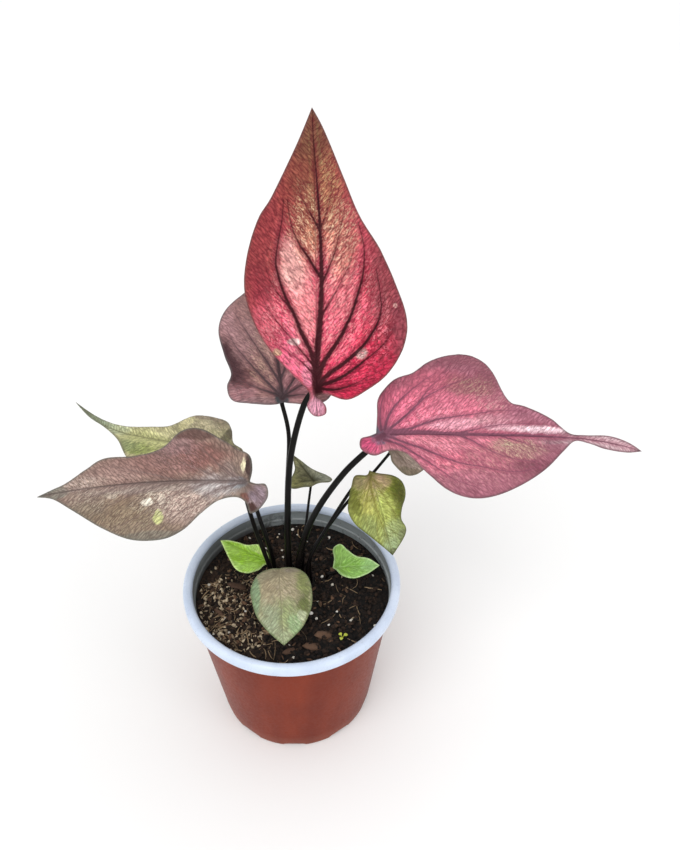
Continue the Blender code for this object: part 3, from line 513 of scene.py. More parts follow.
        slot="leaf_lime", ground="98C765", edge="D4F0B2", rib="B2DA85", furrow_shade="7CAB44", back="9CC771",
        net=0.3, mottle=0.16,
        patches=[
            (2, 10, 6, 7, "AFDC7C", 0.8), (10, 1, 8, 4, "7AAB44", 0.8), (12, -8, 9, 5, "9ACD6F", 0.7),
            (22, 0, 7, 6, "ADD89C", 0.85), (6, -4, 5, 4, "89BC38", 0.6),
        ],
        flecks=[(12, 0, 14, 10, "CDEEA5", 0.4)],
        veins=[
            (0.5, 0.2, [(-1, 0), (12, 0), (25, 0)]),
            (0.35, 0.2, [(1, 1), (2, 7), (2, 13)]),
            (0.35, 0.2, [(5, 0.4), (11, 4), (16, 5)]),
            (0.35, 0.2, [(1, -1), (6, -6), (11, -11)]),
            (0.35, 0.2, [(8, -0.4), (14, -4), (19, -8)]),
        ],
    ),
}


def smooth(t):
    """Rise from 0 to 1 with a level start and end."""
    t = np.clip(t, 0.0, 1.0)
    return t * t * (3.0 - 2.0 * t)


def smooth_curve(points, count, fineness=24):
    """Evenly spaced points along the Catmull-Rom curve through the given ones."""
    knots = np.array([points[0], *points, points[-1]], dtype=float)
    t = np.linspace(0.0, 1.0, fineness, endpoint=False)[:, None]
    fine = []
    for a, b, c, d in zip(knots, knots[1:], knots[2:], knots[3:]):
        bend = (2 * a - 5 * b + 4 * c - d) * t + (3 * b - a - 3 * c + d) * t * t
        fine.append(b + 0.5 * t * ((c - a) + bend))
    fine = np.vstack([*fine, knots[-1]])
    walked = np.concatenate([[0.0], np.cumsum(np.linalg.norm(np.diff(fine, axis=0), axis=1))])
    wanted = np.linspace(0.0, walked[-1], count)
    return np.stack([np.interp(wanted, walked, column) for column in fine.T], axis=1)


def spaced_curve(points, step):
    """The smooth curve through the points, with one every step."""
    length = sum(math.dist(a, b) for a, b in zip(points, points[1:]))
    return smooth_curve(points, max(int(length / step), 2) + 1)


class Sheet:
    """The bent surface that a flat blade is laid on: a curved midrib with a curved half each side."""

    def __init__(self, leaf):
        self.at = np.array(leaf["at"], dtype=float)
        self.length = leaf["length"]
        turn = [math.radians(angle) for angle in (leaf["roll"], -leaf["rise"], leaf["heading"])]
        self.axes = np.array(Euler(turn, "XYZ").to_matrix())
        self.fold = np.radians(leaf["fold"])
        self.curl = np.radians(leaf.get("curl", (0, 0))) / 10.0
        self.twist = math.radians(leaf.get("twist", 0))
        self.tail_at = leaf.get("tail_at", 0.99)
        self.walked = np.arange(-SPINE_BACK, self.length + SPINE_STEP, SPINE_STEP)
        share = self.walked / self.length
        tail = self.tail(self.walked)
        drop = np.radians(leaf["arch"] * np.clip(share, 0, None) + leaf.get("tail_drop", 0) * tail
                          + leaf.get("droop", 0) * np.clip(share, None, 0))
        sway = np.radians(leaf.get("sway", 0) * np.clip(share, 0, None) + leaf.get("tail_sway", 0) * tail)
        ahead = np.stack([np.cos(drop) * np.cos(sway), np.cos(drop) * np.sin(sway), -np.sin(drop)], axis=1)
        self.side = np.stack([-np.sin(sway), np.cos(sway), 0 * sway], axis=1)
        self.face = np.cross(ahead, self.side)
        steps = (ahead[1:] + ahead[:-1]) / 2 * SPINE_STEP
        spine = np.vstack([np.zeros(3), np.cumsum(steps, axis=0)])
        self.spine = spine - self.along(spine, np.zeros(1))

    def tail(self, x):
        """How far into the drip tip a place along the midrib is, from 0 to 1."""
        return smooth((x / self.length - self.tail_at) / (1 - self.tail_at))

    def along(self, values, x):
        """Read the spine's values at distances along the midrib."""
        return np.stack([np.interp(x, self.walked, column) for column in values.T], axis=-1)

    def place(self, x, y):
        """World positions, in millimetres, of places along (x) and across (y) the flat blade."""
        half = (y < 0).astype(int)
        fold = self.fold[half]
        curl = self.curl[half] + 1e-7
        out = np.abs(y)
        across = np.where(y < 0, -1, 1) * (np.sin(fold + curl * out) - np.sin(fold)) / curl
        up = (np.cos(fold) - np.cos(fold + curl * out)) / curl
        turn = self.twist * self.tail(x)
        across, up = (across * np.cos(turn) - up * np.sin(turn), across * np.sin(turn) + up * np.cos(turn))
        local = (self.along(self.spine, x) + self.along(self.side, x) * across[..., None]
                 + self.along(self.face, x) * up[..., None])
        return local @ self.axes.T + self.at

    def normal(self, x, y, step=0.5):
        """The face's outward direction at places on the flat blade."""
        ahead = self.place(x + step, y) - self.place(x - step, y)
        left = self.place(x, y + step) - self.place(x, y - step)
        normal = np.cross(ahead, left)
        return normal / np.linalg.norm(normal, axis=-1, keepdims=True)


def linear(colour):
    """Turn an sRGB hex colour into linear red, green, blue and full cover."""
    values = [int(colour[i:i + 2], 16) / 255 for i in (0, 2, 4)]
    return (*[v / 12.92 if v <= 0.04045 else ((v + 0.055) / 1.055) ** 2.4 for v in values], 1.0)


def add(tree, kind, inputs=None, out=0, **settings):
    """Add a node with its settings and its inputs, values or other nodes' outputs, and give its output."""
    node = tree.nodes.new("ShaderNode" + kind)
    for name, value in settings.items():
        setattr(node, name, value)
    for name, value in (inputs or {}).items():
        if isinstance(value, bpy.types.NodeSocket):
            tree.links.new(value, node.inputs[name])
        else:
            node.inputs[name].default_value = value
    return node.outputs[out]


def new_finish(name, roughness, ior=LIVING_IOR, specular=0.5):
    """A material with nothing linked to its shader yet: nothing on a potted plant is metal."""
    material = bpy.data.materials.new(name)
    material.use_nodes = True
    shader = material.node_tree.nodes["Principled BSDF"]
    for socket, value in (("Roughness", roughness), ("IOR", ior), ("Metallic", 0.0),
                          ("Specular IOR Level", specular)):
        shader.inputs[socket].default_value = value
    return material, material.node_tree


def dressed(material, paint, gloss=None, relief=None, strength=0.0, depth=0.0):
    """Give a material its colour, its gloss, and its fine relief, which is depth millimetres deep."""
    tree = material.node_tree
    bump = None
    if relief is not None:
        bump = add(tree, "Bump", {"Strength": strength, "Distance": depth * MM, "Height": relief})
    for value, socket in ((paint, "Base Color"), (gloss, "Roughness"), (bump, "Normal")):
        if value is not None:
            tree.links.new(value, tree.nodes["Principled BSDF"].inputs[socket])
    return material


def area_of(tree, spot, patch, soft=(1.45, 0.4)):
    """A soft-edged oval on the flat blade: 0 outside it, and its strength within."""
    x, y, wide, high, _, strength = patch
    scaled = add(tree, "VectorMath", {0: spot, 1: (1 / wide, 1 / high, 0), 2: (-x / wide, -y / high, 0)},
                 operation="MULTIPLY_ADD")
    far = add(tree, "VectorMath", {0: scaled}, out="Value", operation="LENGTH")
    return add(tree, "MapRange", {0: far, 1: soft[0], 2: soft[1], 3: 0.0, 4: strength},
               interpolation_type="SMOOTHSTEP")


def patch_colours(tree, look, flat, drift):
    """Colour that spreads through the tissue unevenly, in tongues of some 5 mm with edges frayed to 1 mm."""
    shift = add(tree, "VectorMath", {0: drift, 1: (TONGUE, TONGUE, 0), 2: (-TONGUE / 2, -TONGUE / 2, 0)},
                operation="MULTIPLY_ADD")
    spot = add(tree, "VectorMath", {0: flat, 1: shift}, operation="ADD")
    close = add(tree, "Mix", {0: 0.3, 4: flat, 5: spot}, out=1, data_type="VECTOR")
    paint = linear(look["ground"])
    for patch in look["patches"]:
        small = min(patch[2], patch[3]) < SMALL_PATCH
        area = area_of(tree, close, patch, (1.15, 0.7)) if small else area_of(tree, spot, patch)
        paint = add(tree, "Mix", {0: area, 6: paint, 7: linear(patch[4])}, out=2, data_type="RGBA")
    return paint, spot


def tissue_tone(tree, look, grain, drift):
    """How light the tissue is from place to place: the streaks, and the puffed cells with painted highlight
    in their middles and painted shade at their walls.
    """
    # Streaks of lighter and darker tissue run out beside the veins, 1 to 2 mm across and 3 mm long.
    streak = add(tree, "Mapping", {0: grain, "Scale": (0.55, 0.38, 1)})
    streaks = add(tree, "TexNoise", {"Vector": streak, "Scale": 1.0, "Detail": 4.0, "Roughness": 0.62,
                                     "Distortion": 0.8})
    uneven = look.get("mottle", 0.25)
    tone = add(tree, "MapRange", {0: streaks, 1: 0.37, 2: 0.63, 3: 1 - uneven, 4: 1 + uneven})
    # The finest veins close puffed cells about 4 mm long and 2 mm across, with painted highlight in their
    # middles and painted shade at their walls.
    cells = add(tree, "Mapping", {0: grain, "Scale": (0.5, 0.27, 1)})
    wavy = add(tree, "Mix", {0: 0.4, 4: cells, 5: drift}, out=1, data_type="VECTOR")
    wall = add(tree, "TexVoronoi", {"Vector": wavy, "Scale": 1.6}, feature="DISTANCE_TO_EDGE")
    puffed = add(tree, "MapRange", {0: wall, 1: 0.0, 2: 0.32, 3: 0.84, 4: 1.22})
    blotch = add(tree, "MapRange", {0: drift, 1: 0.38, 2: 0.62, 3: 0.82, 4: 1.2})
    for layer in (puffed, blotch):
        tone = add(tree, "Math", {0: tone, 1: layer}, operation="MULTIPLY")
    return tone, streaks, puffed, wall


def add_specks(tree, look, paint, spot, speck):
    """Pale curls 1 to 2 mm long, with dark gaps between, in the places where the real leaf has them."""
    lit = add(tree, "MapRange", {0: speck, 1: 0.53, 2: 0.57}, interpolation_type="SMOOTHSTEP")
    gap = add(tree, "MapRange", {0: speck, 1: 0.46, 2: 0.40, 3: 0.0, 4: 0.7},
              interpolation_type="SMOOTHSTEP")
    for place in look["flecks"]:
        area = area_of(tree, spot, place, (1.2, 0.4))
        for mask, colour in ((gap, look["edge"]), (lit, place[4])):
            cover = add(tree, "Math", {0: area, 1: mask}, operation="MULTIPLY")
            paint = add(tree, "Mix", {0: cover, 6: paint, 7: linear(colour)}, out=2, data_type="RGBA")
    return paint


def add_veins(tree, look, paint, speck):
    """The main veins: painted shade along a furrow up to 4 mm wide, then the vein in it. The finest are the
    faintest.
    """
    vein = add(tree, "UVMap", uv_map="vein")
    share = add(tree, "SeparateXYZ", {0: vein}, out="X")
    width = add(tree, "SeparateXYZ", {0: vein}, out="Y")
    shown = look.get("show", 1.0)
    frayed = add(tree, "Math", {0: speck, 1: -0.5}, operation="ADD")
    apart = add(tree, "Math", {0: share, 1: width}, operation="MULTIPLY")
    furrow_shade = add(tree, "Math", {0: frayed, 1: 4.0, 2: apart}, operation="MULTIPLY_ADD")
    line = add(tree, "Math", {0: frayed, 1: 1.8, 2: share}, operation="MULTIPLY_ADD")
    bold = add(tree, "MapRange", {0: width, 1: 0.15, 2: 0.6, 3: 0.45 * shown, 4: shown})
    # The first layer is painted shade along each vein's furrow; the second is the vein's own colour.
    for reach, far, near, cover, colour in ((furrow_shade, 4.0, 0.3, 0.8, look.get("furrow_shade", look["rib"])),
                                            (line, 1.3, 0.6, 0.95, look["rib"])):
        mask = add(tree, "MapRange", {0: reach, 1: far, 2: near, 3: 0.0, 4: cover},
                   interpolation_type="SMOOTHSTEP")
        mask = add(tree, "Math", {0: mask, 1: bold}, operation="MULTIPLY")
        paint = add(tree, "Mix", {0: mask, 6: paint, 7: linear(colour)}, out=2, data_type="RGBA")
    return paint


def leaf_finish(name, look):
    """Living leaf: a thin wax cuticle, with a satin gloss, over patchy coloured cells and sunken veins."""
    material, tree = new_finish(name, 0.5, specular=0.2)
    flat = add(tree, "UVMap", uv_map="flat")
    grain = add(tree, "UVMap", uv_map="grain")
    edges = add(tree, "UVMap", uv_map="margin")
    margin = add(tree, "SeparateXYZ", {0: edges}, out="X")
    under = add(tree, "SeparateXYZ", {0: edges}, out="Y")
    drift = add(tree, "TexNoise", {"Vector": flat, "Scale": 0.17, "Detail": 5.0, "Roughness": 0.7}, out=1)
    paint, spot = patch_colours(tree, look, flat, drift)
    tone, streaks, puffed, wall = tissue_tone(tree, look, grain, drift)
    paint = add(tree, "Mix", {0: 1.0, 6: paint, 7: tone}, out=2, data_type="RGBA", blend_type="MULTIPLY")

    curl = add(tree, "Mapping", {0: grain, "Scale": (0.8, 0.5, 1)})
    speck = add(tree, "TexNoise", {"Vector": curl, "Scale": 1.0, "Detail": 4.0, "Roughness": 0.6,
                                   "Distortion": 1.6})
    paint = add_specks(tree, look, paint, spot, speck)
    # The finest veins run along the cell walls, drawn in the colour of the furrows' painted shade.
    line = add(tree, "MapRange", {0: wall, 1: 0.09, 2: 0.0}, interpolation_type="SMOOTHSTEP")
    fade = add(tree, "MapRange", {0: speck, 1: 0.58, 2: 0.42, 3: 0.0, 4: look["net"]})
    net = add(tree, "Math", {0: line, 1: fade}, operation="MULTIPLY")
    furrow = linear(look.get("furrow_shade", look["rib"]))
    paint = add(tree, "Mix", {0: net, 6: paint, 7: furrow}, out=2, data_type="RGBA")
    paint = add_veins(tree, look, paint, speck)

    # The margin's last half millimetre is thin and dry. Below, the colour shows through a paler skin.
    rim = add(tree, "MapRange", {0: margin, 1: 1.6, 2: 0.3, 3: 0.0, 4: 0.8},
              interpolation_type="SMOOTHSTEP")
    worn = add(tree, "MapRange", {0: streaks, 1: 0.35, 2: 0.6, 3: 0.4, 4: 1.0})
    dry = add(tree, "Math", {0: rim, 1: worn}, operation="MULTIPLY")
    skin_deep = add(tree, "Math", {0: under, 1: 0.6}, operation="MULTIPLY")
    for cover, colour in ((dry, look["edge"]), (skin_deep, look["back"])):
        paint = add(tree, "Mix", {0: cover, 6: paint, 7: linear(colour)}, out=2, data_type="RGBA")

    satin = add(tree, "MapRange", {0: speck, 1: 0.3, 2: 0.7, 3: 0.42, 4: 0.6})
    relief = add(tree, "Math", {0: line, 1: -0.5, 2: streaks}, operation="MULTIPLY_ADD")
    relief = add(tree, "Math", {0: puffed, 1: 0.8, 2: relief}, operation="MULTIPLY_ADD")
    return dressed(material, paint, satin, relief, 0.8, 0.6)


def petiole_finish():
    """Living stalk: a smooth purple-black skin under wax, so it shines in a narrow line up its length."""
    material, tree = new_finish("petiole_skin", 0.32, specular=0.15)
    place = add(tree, "NewGeometry", out="Position")
    # The stalk's fibres, drawn 0.8 mm apart and 15 mm long.
    fibres = add(tree, "Mapping", {0: place, "Scale": (1.25 / MM, 1.25 / MM, 0.07 / MM)})
    streaks = add(tree, "TexNoise", {"Vector": fibres, "Scale": 1.0, "Detail": 3.0})
    clouds = add(tree, "TexNoise", {"Vector": place, "Scale": 0.05 / MM, "Detail": 2.0})
    tone = add(tree, "MapRange", {0: streaks, 1: 0.35, 2: 0.7})
    green = add(tree, "MapRange", {0: clouds, 1: 0.5, 2: 0.75, 3: 0.0, 4: 0.5})
    paint = linear("060505")
    for cover, colour in ((tone, "110D0E"), (green, "151812")):
        paint = add(tree, "Mix", {0: cover, 6: paint, 7: linear(colour)}, out=2, data_type="RGBA")
    shine = add(tree, "MapRange", {0: clouds, 1: 0.3, 2: 0.7, 3: 0.25, 4: 0.42})
    return dressed(material, paint, shine, streaks, 0.3, 0.15)


def pot_wall_finish():
    """Terracotta-coloured polypropylene, injection moulded: a waxy gloss, with faint upright flow lines."""
    material, tree = new_finish("moulded_polypropylene_terracotta", 0.38, POLYPROPYLENE_IOR, 0.1)
    place = add(tree, "NewGeometry", out="Position")
    # Flow marks some 15 mm apart run up the wall. Scuffs are about 2 mm across.
    flow = add(tree, "Mapping", {0: place, "Scale": (0.06 / MM, 0.06 / MM, 0.004 / MM)})
    lines = add(tree, "TexNoise", {"Vector": flow, "Scale": 1.0, "Detail": 2.0, "Roughness": 0.5})
    clouds = add(tree, "TexNoise", {"Vector": place, "Scale": 0.03 / MM, "Detail": 4.0, "Roughness": 0.6})
    scuffs = add(tree, "TexNoise", {"Vector": place, "Scale": 0.5 / MM, "Detail": 3.0, "Roughness": 0.7})
    tone = add(tree, "MapRange", {0: lines, 1: 0.3, 2: 0.7})
    shade = add(tree, "MapRange", {0: clouds, 1: 0.4, 2: 0.7, 3: 0.0, 4: 0.4})
    # Dust and limescale gather in the last 14 mm above the foot.
    high = add(tree, "SeparateXYZ", {0: place}, out="Z")
    dusty = add(tree, "MapRange", {0: high, 1: 14 * MM, 2: 0.0, 3: 0.0, 4: 0.35})
    dust = add(tree, "Math", {0: dusty, 1: scuffs}, operation="MULTIPLY")
    paint = linear("6C2007")
    for cover, colour in ((tone, "7E2C10"), (shade, "5C1806"), (dust, "A87C66")):
        paint = add(tree, "Mix", {0: cover, 6: paint, 7: linear(colour)}, out=2, data_type="RGBA")
    gloss = add(tree, "MapRange", {0: scuffs, 1: 0.3, 2: 0.7, 3: 0.3, 4: 0.46})
    return dressed(material, paint, gloss, scuffs, 0.12, 0.2)


def pot_rim_finish():
    """Pale grey polypropylene, moulded: a smooth lip that bounces cool light, with handling scuffs."""
    material, tree = new_finish("moulded_polypropylene_pale", 0.3, POLYPROPYLENE_IOR)
    place = add(tree, "NewGeometry", out="Position")
    clouds = add(tree, "TexNoise", {"Vector": place, "Scale": 0.05 / MM, "Detail": 4.0})
    scuffs = add(tree, "TexNoise", {"Vector": place, "Scale": 0.6 / MM, "Detail": 4.0, "Roughness": 0.7})
    tone = add(tree, "MapRange", {0: clouds, 1: 0.35, 2: 0.65})
    worn = add(tree, "MapRange", {0: scuffs, 1: 0.6, 2: 0.72, 3: 0.0, 4: 0.35})
    paint = linear("C0CDE2")
    for cover, colour in ((tone, "D2DEF0"), (worn, "A6AAB4")):
        paint = add(tree, "Mix", {0: cover, 6: paint, 7: linear(colour)}, out=2, data_type="RGBA")
    gloss = add(tree, "MapRange", {0: scuffs, 1: 0.3, 2: 0.7, 3: 0.22, 4: 0.42})
    return dressed(material, paint, gloss, scuffs, 0.15, 0.1)


def pot_lining_finish():
    """Grey polypropylene, moulded: the inside of the wall, satin under soil dust low down, and darkened by
    painted shade over the left side.
    """
    material, tree = new_finish("moulded_polypropylene_grey", 0.4, POLYPROPYLENE_IOR)
    place = add(tree, "NewGeometry", out="Position")
    splash = add(tree, "TexNoise", {"Vector": place, "Scale": 0.25 / MM, "Detail": 6.0, "Roughness": 0.7})
    high = add(tree, "SeparateXYZ", {0: place}, out="Z")
    low = add(tree, "MapRange", {0: high, 1: 108 * MM, 2: 97 * MM, 3: 0.3, 4: 0.85})
    # Painted shade: the dark coat spreads over the left side of the lining, which faces away from the light.
    across = add(tree, "SeparateXYZ", {0: place}, out="X")
    thick = add(tree, "MapRange", {0: across, 1: -5 * MM, 2: -45 * MM, 3: 0.0, 4: 0.35})
    coat = add(tree, "Math", {0: splash, 1: thick}, operation="ADD")
    spots = add(tree, "MapRange", {0: coat, 1: 0.54, 2: 0.66})
    dust_and_shade = add(tree, "Math", {0: low, 1: spots}, operation="MULTIPLY")
    paint = add(tree, "Mix", {0: dust_and_shade, 6: linear("939A9C"), 7: linear("241C16")}, out=2, data_type="RGBA")
    gloss = add(tree, "MapRange", {0: dust_and_shade, 1: 0.0, 2: 1.0, 3: 0.3, 4: 0.9})
    return dressed(material, paint, gloss, dust_and_shade, 0.4, 0.3)


def peat_finish():
    """Peat and composted bark: matt, brown where the crumbs have dried and darker over the right half, with
    painted shade turning the grit's hollows near black and painted light on its tops.
    """
    material, tree = new_finish("damp_peat", 0.95)
    place = add(tree, "NewGeometry", out="Position")
    # Crumbs are 1 to 3 mm, in drifts of 20 mm.
    crumbs = add(tree, "TexVoronoi", {"Vector": place, "Scale": 0.6 / MM, "Randomness": 1.0}, out="Color")
    tone = add(tree, "SeparateXYZ", {0: crumbs}, out="X")
    drifts = add(tree, "TexNoise", {"Vector": place, "Scale": 0.05 / MM, "Detail": 4.0, "Roughness": 0.6})
    grit = add(tree, "TexNoise", {"Vector": place, "Scale": 1.4 / MM, "Detail": 4.0, "Roughness": 0.75})
    mixed = add(tree, "Math", {0: tone, 1: 0.6, 2: drifts}, operation="MULTIPLY_ADD")
    # The right half is made darker.
    across = add(tree, "SeparateXYZ", {0: place}, out="X")
    right_darkening = add(tree, "MapRange", {0: across, 1: -20 * MM, 2: 20 * MM, 3: 0.0, 4: 0.25})
    mixed = add(tree, "Math", {0: mixed, 1: right_darkening}, operation="SUBTRACT")
    dry = add(tree, "MapRange", {0: mixed, 1: 0.5, 2: 1.05})
    peat = add(tree, "Mix", {0: dry, 6: linear("060403"), 7: linear("33241A")}, out=2, data_type="RGBA")
    # Painted shade and light: the same noise as the bump darkens the grit's hollows and lightens its tops.
    fine = add(tree, "MapRange", {0: grit, 1: 0.3, 2: 0.7, 3: 0.55, 4: 1.5})
    paint = add(tree, "Mix", {0: 1.0, 6: peat, 7: fine}, out=2, data_type="RGBA", blend_type="MULTIPLY")
    return dressed(material, paint, relief=grit, strength=0.8, depth=0.5)


def bits_finish(name, darkest, palest, roughness, grain):
    """Loose bits in the soil, each of its own shade, split along a grain of the given millimetres."""
    material, tree = new_finish(name, roughness)
    shade = add(tree, "SeparateXYZ", {0: add(tree, "UVMap", uv_map="shade")}, out="X")
    place = add(tree, "NewGeometry", out="Position")
    split = add(tree, "TexNoise", {"Vector": place, "Scale": 1 / (grain * MM), "Detail": 4.0,
                                   "Roughness": 0.7})
    tone = add(tree, "Math", {0: split, 1: -0.5}, operation="ADD")
    tone = add(tree, "Math", {0: tone, 1: 0.8, 2: shade}, operation="MULTIPLY_ADD")
    paint = add(tree, "Mix", {0: tone, 6: linear(darkest), 7: linear(palest)}, out=2, data_type="RGBA",
                clamp_factor=True)
    return dressed(material, paint, relief=split, strength=0.7, depth=0.25)


def tuber_finish():
    """Tuber skin: corky brown, ringed and matt."""
    material, tree = new_finish("tuber_cork", 0.85)
    place = add(tree, "NewGeometry", out="Position")
    cork = add(tree, "TexNoise", {"Vector": place, "Scale": 0.3 / MM, "Detail": 5.0, "Roughness": 0.7})
    tone = add(tree, "MapRange", {0: cork, 1: 0.35, 2: 0.65})
    paint = add(tree, "Mix", {0: tone, 6: linear("4E3422"), 7: linear("7E5C40")}, out=2, data_type="RGBA")
    return dressed(material, paint, relief=cork, strength=0.6, depth=0.5)


def clouded_finish(name, roughness, scale, one, other):
    """Two close shades in soft clouds: matt painted board under the pot, or a seedling's fresh tissue."""
    material, tree = new_finish(name, roughness)
    place = add(tree, "NewGeometry", out="Position")
    clouds = add(tree, "TexNoise", {"Vector": place, "Scale": scale, "Detail": 3.0})
    paint = add(tree, "Mix", {0: clouds, 6: linear(one), 7: linear(other)}, out=2, data_type="RGBA")
    return dressed(material, paint)


def add_piece(name, places, faces, finishes, bands=None):
    """A mesh piece from points in millimetres, that rides on the plant's one body."""
    mesh = bpy.data.meshes.new(name)
    mesh.from_pydata((np.asarray(places) * MM).tolist(), [], faces)
    for finish in finishes:
        mesh.materials.append(finish)
    if bands is not None:
        mesh.polygons.foreach_set("material_index", bands)
    mesh.shade_smooth()
    piece = bpy.data.objects.new(name, mesh)
    bpy.context.scene.collection.objects.link(piece)
    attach(piece, "root")
    return piece


def store(piece, name, pairs):
    """Keep two numbers for each vertex where a material can read them."""
    mesh = piece.data
    layer = mesh.uv_layers.new(name=name)
    corners = np.empty(len(mesh.loops), dtype=np.int32)
    mesh.loops.foreach_get("vertex_index", corners)
    layer.uv.foreach_set("vector", np.asarray(pairs, dtype=np.float32)[corners].ravel())


def skin(rings):
    """Join rings of points into one surface, capped at both ends, with the band that each face lies in."""
    count = len(rings[0])
    places = [tuple(point) for ring in rings for point in ring]
    faces, bands = [], []
    for k in range(len(rings) - 1):
        a, b = k * count, (k + 1) * count
        for i in range(count):
            j = (i + 1) % count
            faces.append((a + i, a + j, b + j, b + i))
            bands.append(k)
    faces.append(tuple(range(count))[::-1])
    faces.append(tuple(range(len(places) - count, len(places))))
    return places, faces, bands + [0, len(rings) - 2]


def join(places, faces, more, joined):
    """Add one form's points and faces to those of a piece made of many."""
    start = len(places)
    places += more
    faces += [tuple(start + k for k in face) for face in joined]


def tube_rings(path, radii, sides):
    """Rings square to a path, turned as little as they can be from one to the next."""
    path = [Vector(point) for point in path]
    ahead = (path[1] - path[0]).normalized()
    across = ahead.orthogonal().normalized()
    rings = []
    for k, (point, radius) in enumerate(zip(path, radii)):
        ahead = (path[min(k + 1, len(path) - 1)] - path[max(k - 1, 0)]).normalized()
        across = (across - ahead * across.dot(ahead)).normalized()
        other = ahead.cross(across)
        rings.append([point + (across * math.cos(a) + other * math.sin(a)) * radius
                      for a in (math.tau * i / sides for i in range(sides))])
    return rings


def fill_outline(outline, lines, spacing):
    """Triangulate a flat shape evenly, with its outline and the lines drawn on it kept as edges."""
    low, high = outline.min(axis=0), outline.max(axis=0)
    rise = spacing * math.sqrt(3) / 2
    rows = np.arange(low[1] + rise, high[1], rise)
    columns = np.arange(low[0], high[0], spacing)
    grid = np.array([(x + spacing / 2 * (k % 2), y) for k, y in enumerate(rows) for x in columns])
    inside = np.zeros(len(grid), dtype=bool)
    for a, b in zip(outline, np.roll(outline, -1, axis=0)):
        if a[1] != b[1]:
            spans = (a[1] > grid[:, 1]) != (b[1] > grid[:, 1])
            inside ^= spans & (grid[:, 0] < a[0] + (b[0] - a[0]) * (grid[:, 1] - a[1]) / (b[1] - a[1]))
    grid = grid[inside]
    drawn = np.vstack([outline, *lines])
    clear = nearest(grid, drawn)[0] > CLEAR_OF_LINES * spacing
    points = np.vstack([drawn, grid[clear]])
    edges = [(i, (i + 1) % len(outline)) for i in range(len(outline))]
    start = len(outline)
    for line in lines:
        edges += [(start + i, start + i + 1) for i in range(len(line) - 1)]
        start += len(line)
    filled = delaunay_2d_cdt([Vector(point) for point in points], edges, [], 1, 1e-4)
    return np.array([tuple(point) for point in filled[0]]), [tuple(face) for face in filled[2]]


def nearest(points, others):
    """For each point, the distance to the nearest of the others, and which one it is."""
    best = np.full(len(points), np.inf)
    which = np.zeros(len(points), dtype=int)
    for k, other in enumerate(others):
        far = np.hypot(points[:, 0] - other[0], points[:, 1] - other[1])
        closer = far < best
        best[closer] = far[closer]
        which[closer] = k
    return best, which


def rolling(places, size, octaves):
    """Smooth random relief, about from -1 to 1, at places in millimetres."""
    return np.array([noise.fractal(Vector((x / size, y / size, z / size)), 0.8, 2.0, octaves)
                     for x, y, z in places])


def widths_along(outline, side, x):
    """How far the blade's margin stands out from the midrib on one side, at distances along it."""
    first = math.floor(outline[:, 0].min())
    ends = zip(outline, np.roll(outline, -1, axis=0))
    fine = np.vstack([np.linspace(a, b, 8, endpoint=False) for a, b in ends])
    reach = np.full(math.ceil(outline[:, 0].max()) - first + 2, 0.5)
    out = np.clip(side * fine[:, 1], 0.5, None)
    np.maximum.at(reach, np.round(fine[:, 0]).astype(int) - first, out)
    soft = np.convolve(np.pad(reach, 2, mode="edge"), [0.1, 0.2, 0.4, 0.2, 0.1], mode="valid")
    return np.interp(x - first, np.arange(len(soft)), soft)


def margin_shares(margin, x):
    """How far round one side's margin, from notch to tip, the places at distances along the midrib lie."""
    start = int(np.argmin(margin[:, 0]))
    shares = (np.arange(len(margin)) / (len(margin) - 1)) ** (1 / MARGIN_CROWDING)
    return np.interp(x, np.maximum.accumulate(margin[start:, 0]), shares[start:])


def grain_of(x, y):
    """Streak coordinates on the flat blade: across the veins' run, and out along it."""
    out = np.abs(y)
    lean = x - STREAK_LEAN * out
    angle = np.arctan2(out, x + 1e-6)
    fan = -FAN_SPREAD * (angle - math.atan(1 / STREAK_LEAN))
    ahead = lean > 0
    run = np.where(ahead, out, np.hypot(x, out) * FAN_RUN)
    return np.stack([np.where(ahead, lean, fan) + np.where(y < 0, HALF_STEP, 0.0), run], axis=1)


def vein_lines(look, outline, step):
    """The main veins' points, cut off where they reach the margin, with their half widths."""
    kept = []
    for wide, thin, points in look["veins"]:
        line = spaced_curve(points, step)
        widths = thin + (wide - thin) * np.linspace(1, 0, len(line)) ** 1.6
        room = nearest(line, outline)[0] > step
        if not room.all():
            start = int(np.argmax(room))
            stop = start + int(np.argmin(np.append(room[start:], False)))
            line, widths = line[start:stop], widths[start:stop]
        kept.append((line, widths))
    return kept


def blade_relief(leaf, look, outline, margins, x, y, to_vein):
    """How far each place stands off the sheet: waves at the margin, puffing between veins, and wrinkles."""
    left = y >= 0
    width = np.where(left, widths_along(outline, 1, x), widths_along(outline, -1, x))
    out = np.clip(np.abs(y) / width, 0, 1)
    along = np.where(left, margin_shares(margins[1], x), margin_shares(margins[0], x))
    swell = np.sin(math.pi * along)
    wave = np.sin(math.tau * leaf.get("waves", 1) * along + np.sign(y) + leaf["heading"])
    ripple = leaf["ripple"] * wave * out ** 2 * swell
    size = 0.5 if leaf.get("small") else 1.0
    puff = PUFFING * size * (1 - np.exp(-(to_vein / (PUFF_REACH * size)) ** 2)) * 4 * out * (1 - out) * swell
    flat = np.stack([x, y, 0 * x + leaf["heading"]], axis=1)
    wrinkles = sum(high * rolling(flat, wide, layers) for high, wide, layers in WRINKLES)
    return ripple + puff + size * wrinkles


def vein_fields(flat, veins):
    """For each place: millimetres and widths to a vein, that vein's width, and how high its rib is."""
    to_vein, share = np.full(len(flat), NO_VEIN), np.full(len(flat), NO_VEIN_SHARE)
    width, rib = np.zeros(len(flat)), np.zeros(len(flat))
    for line, widths in veins:
        far, which = nearest(flat, line)
        near_width = widths[which]
        to_vein = np.minimum(to_vein, far)
        closer = far / near_width < share
        share[closer] = (far / near_width)[closer]
        width[closer] = near_width[closer]
        rib = np.maximum(rib, near_width * np.exp(-(far / (near_width + GROOVE_SOFTNESS)) ** 2))
    return to_vein, share, width, rib


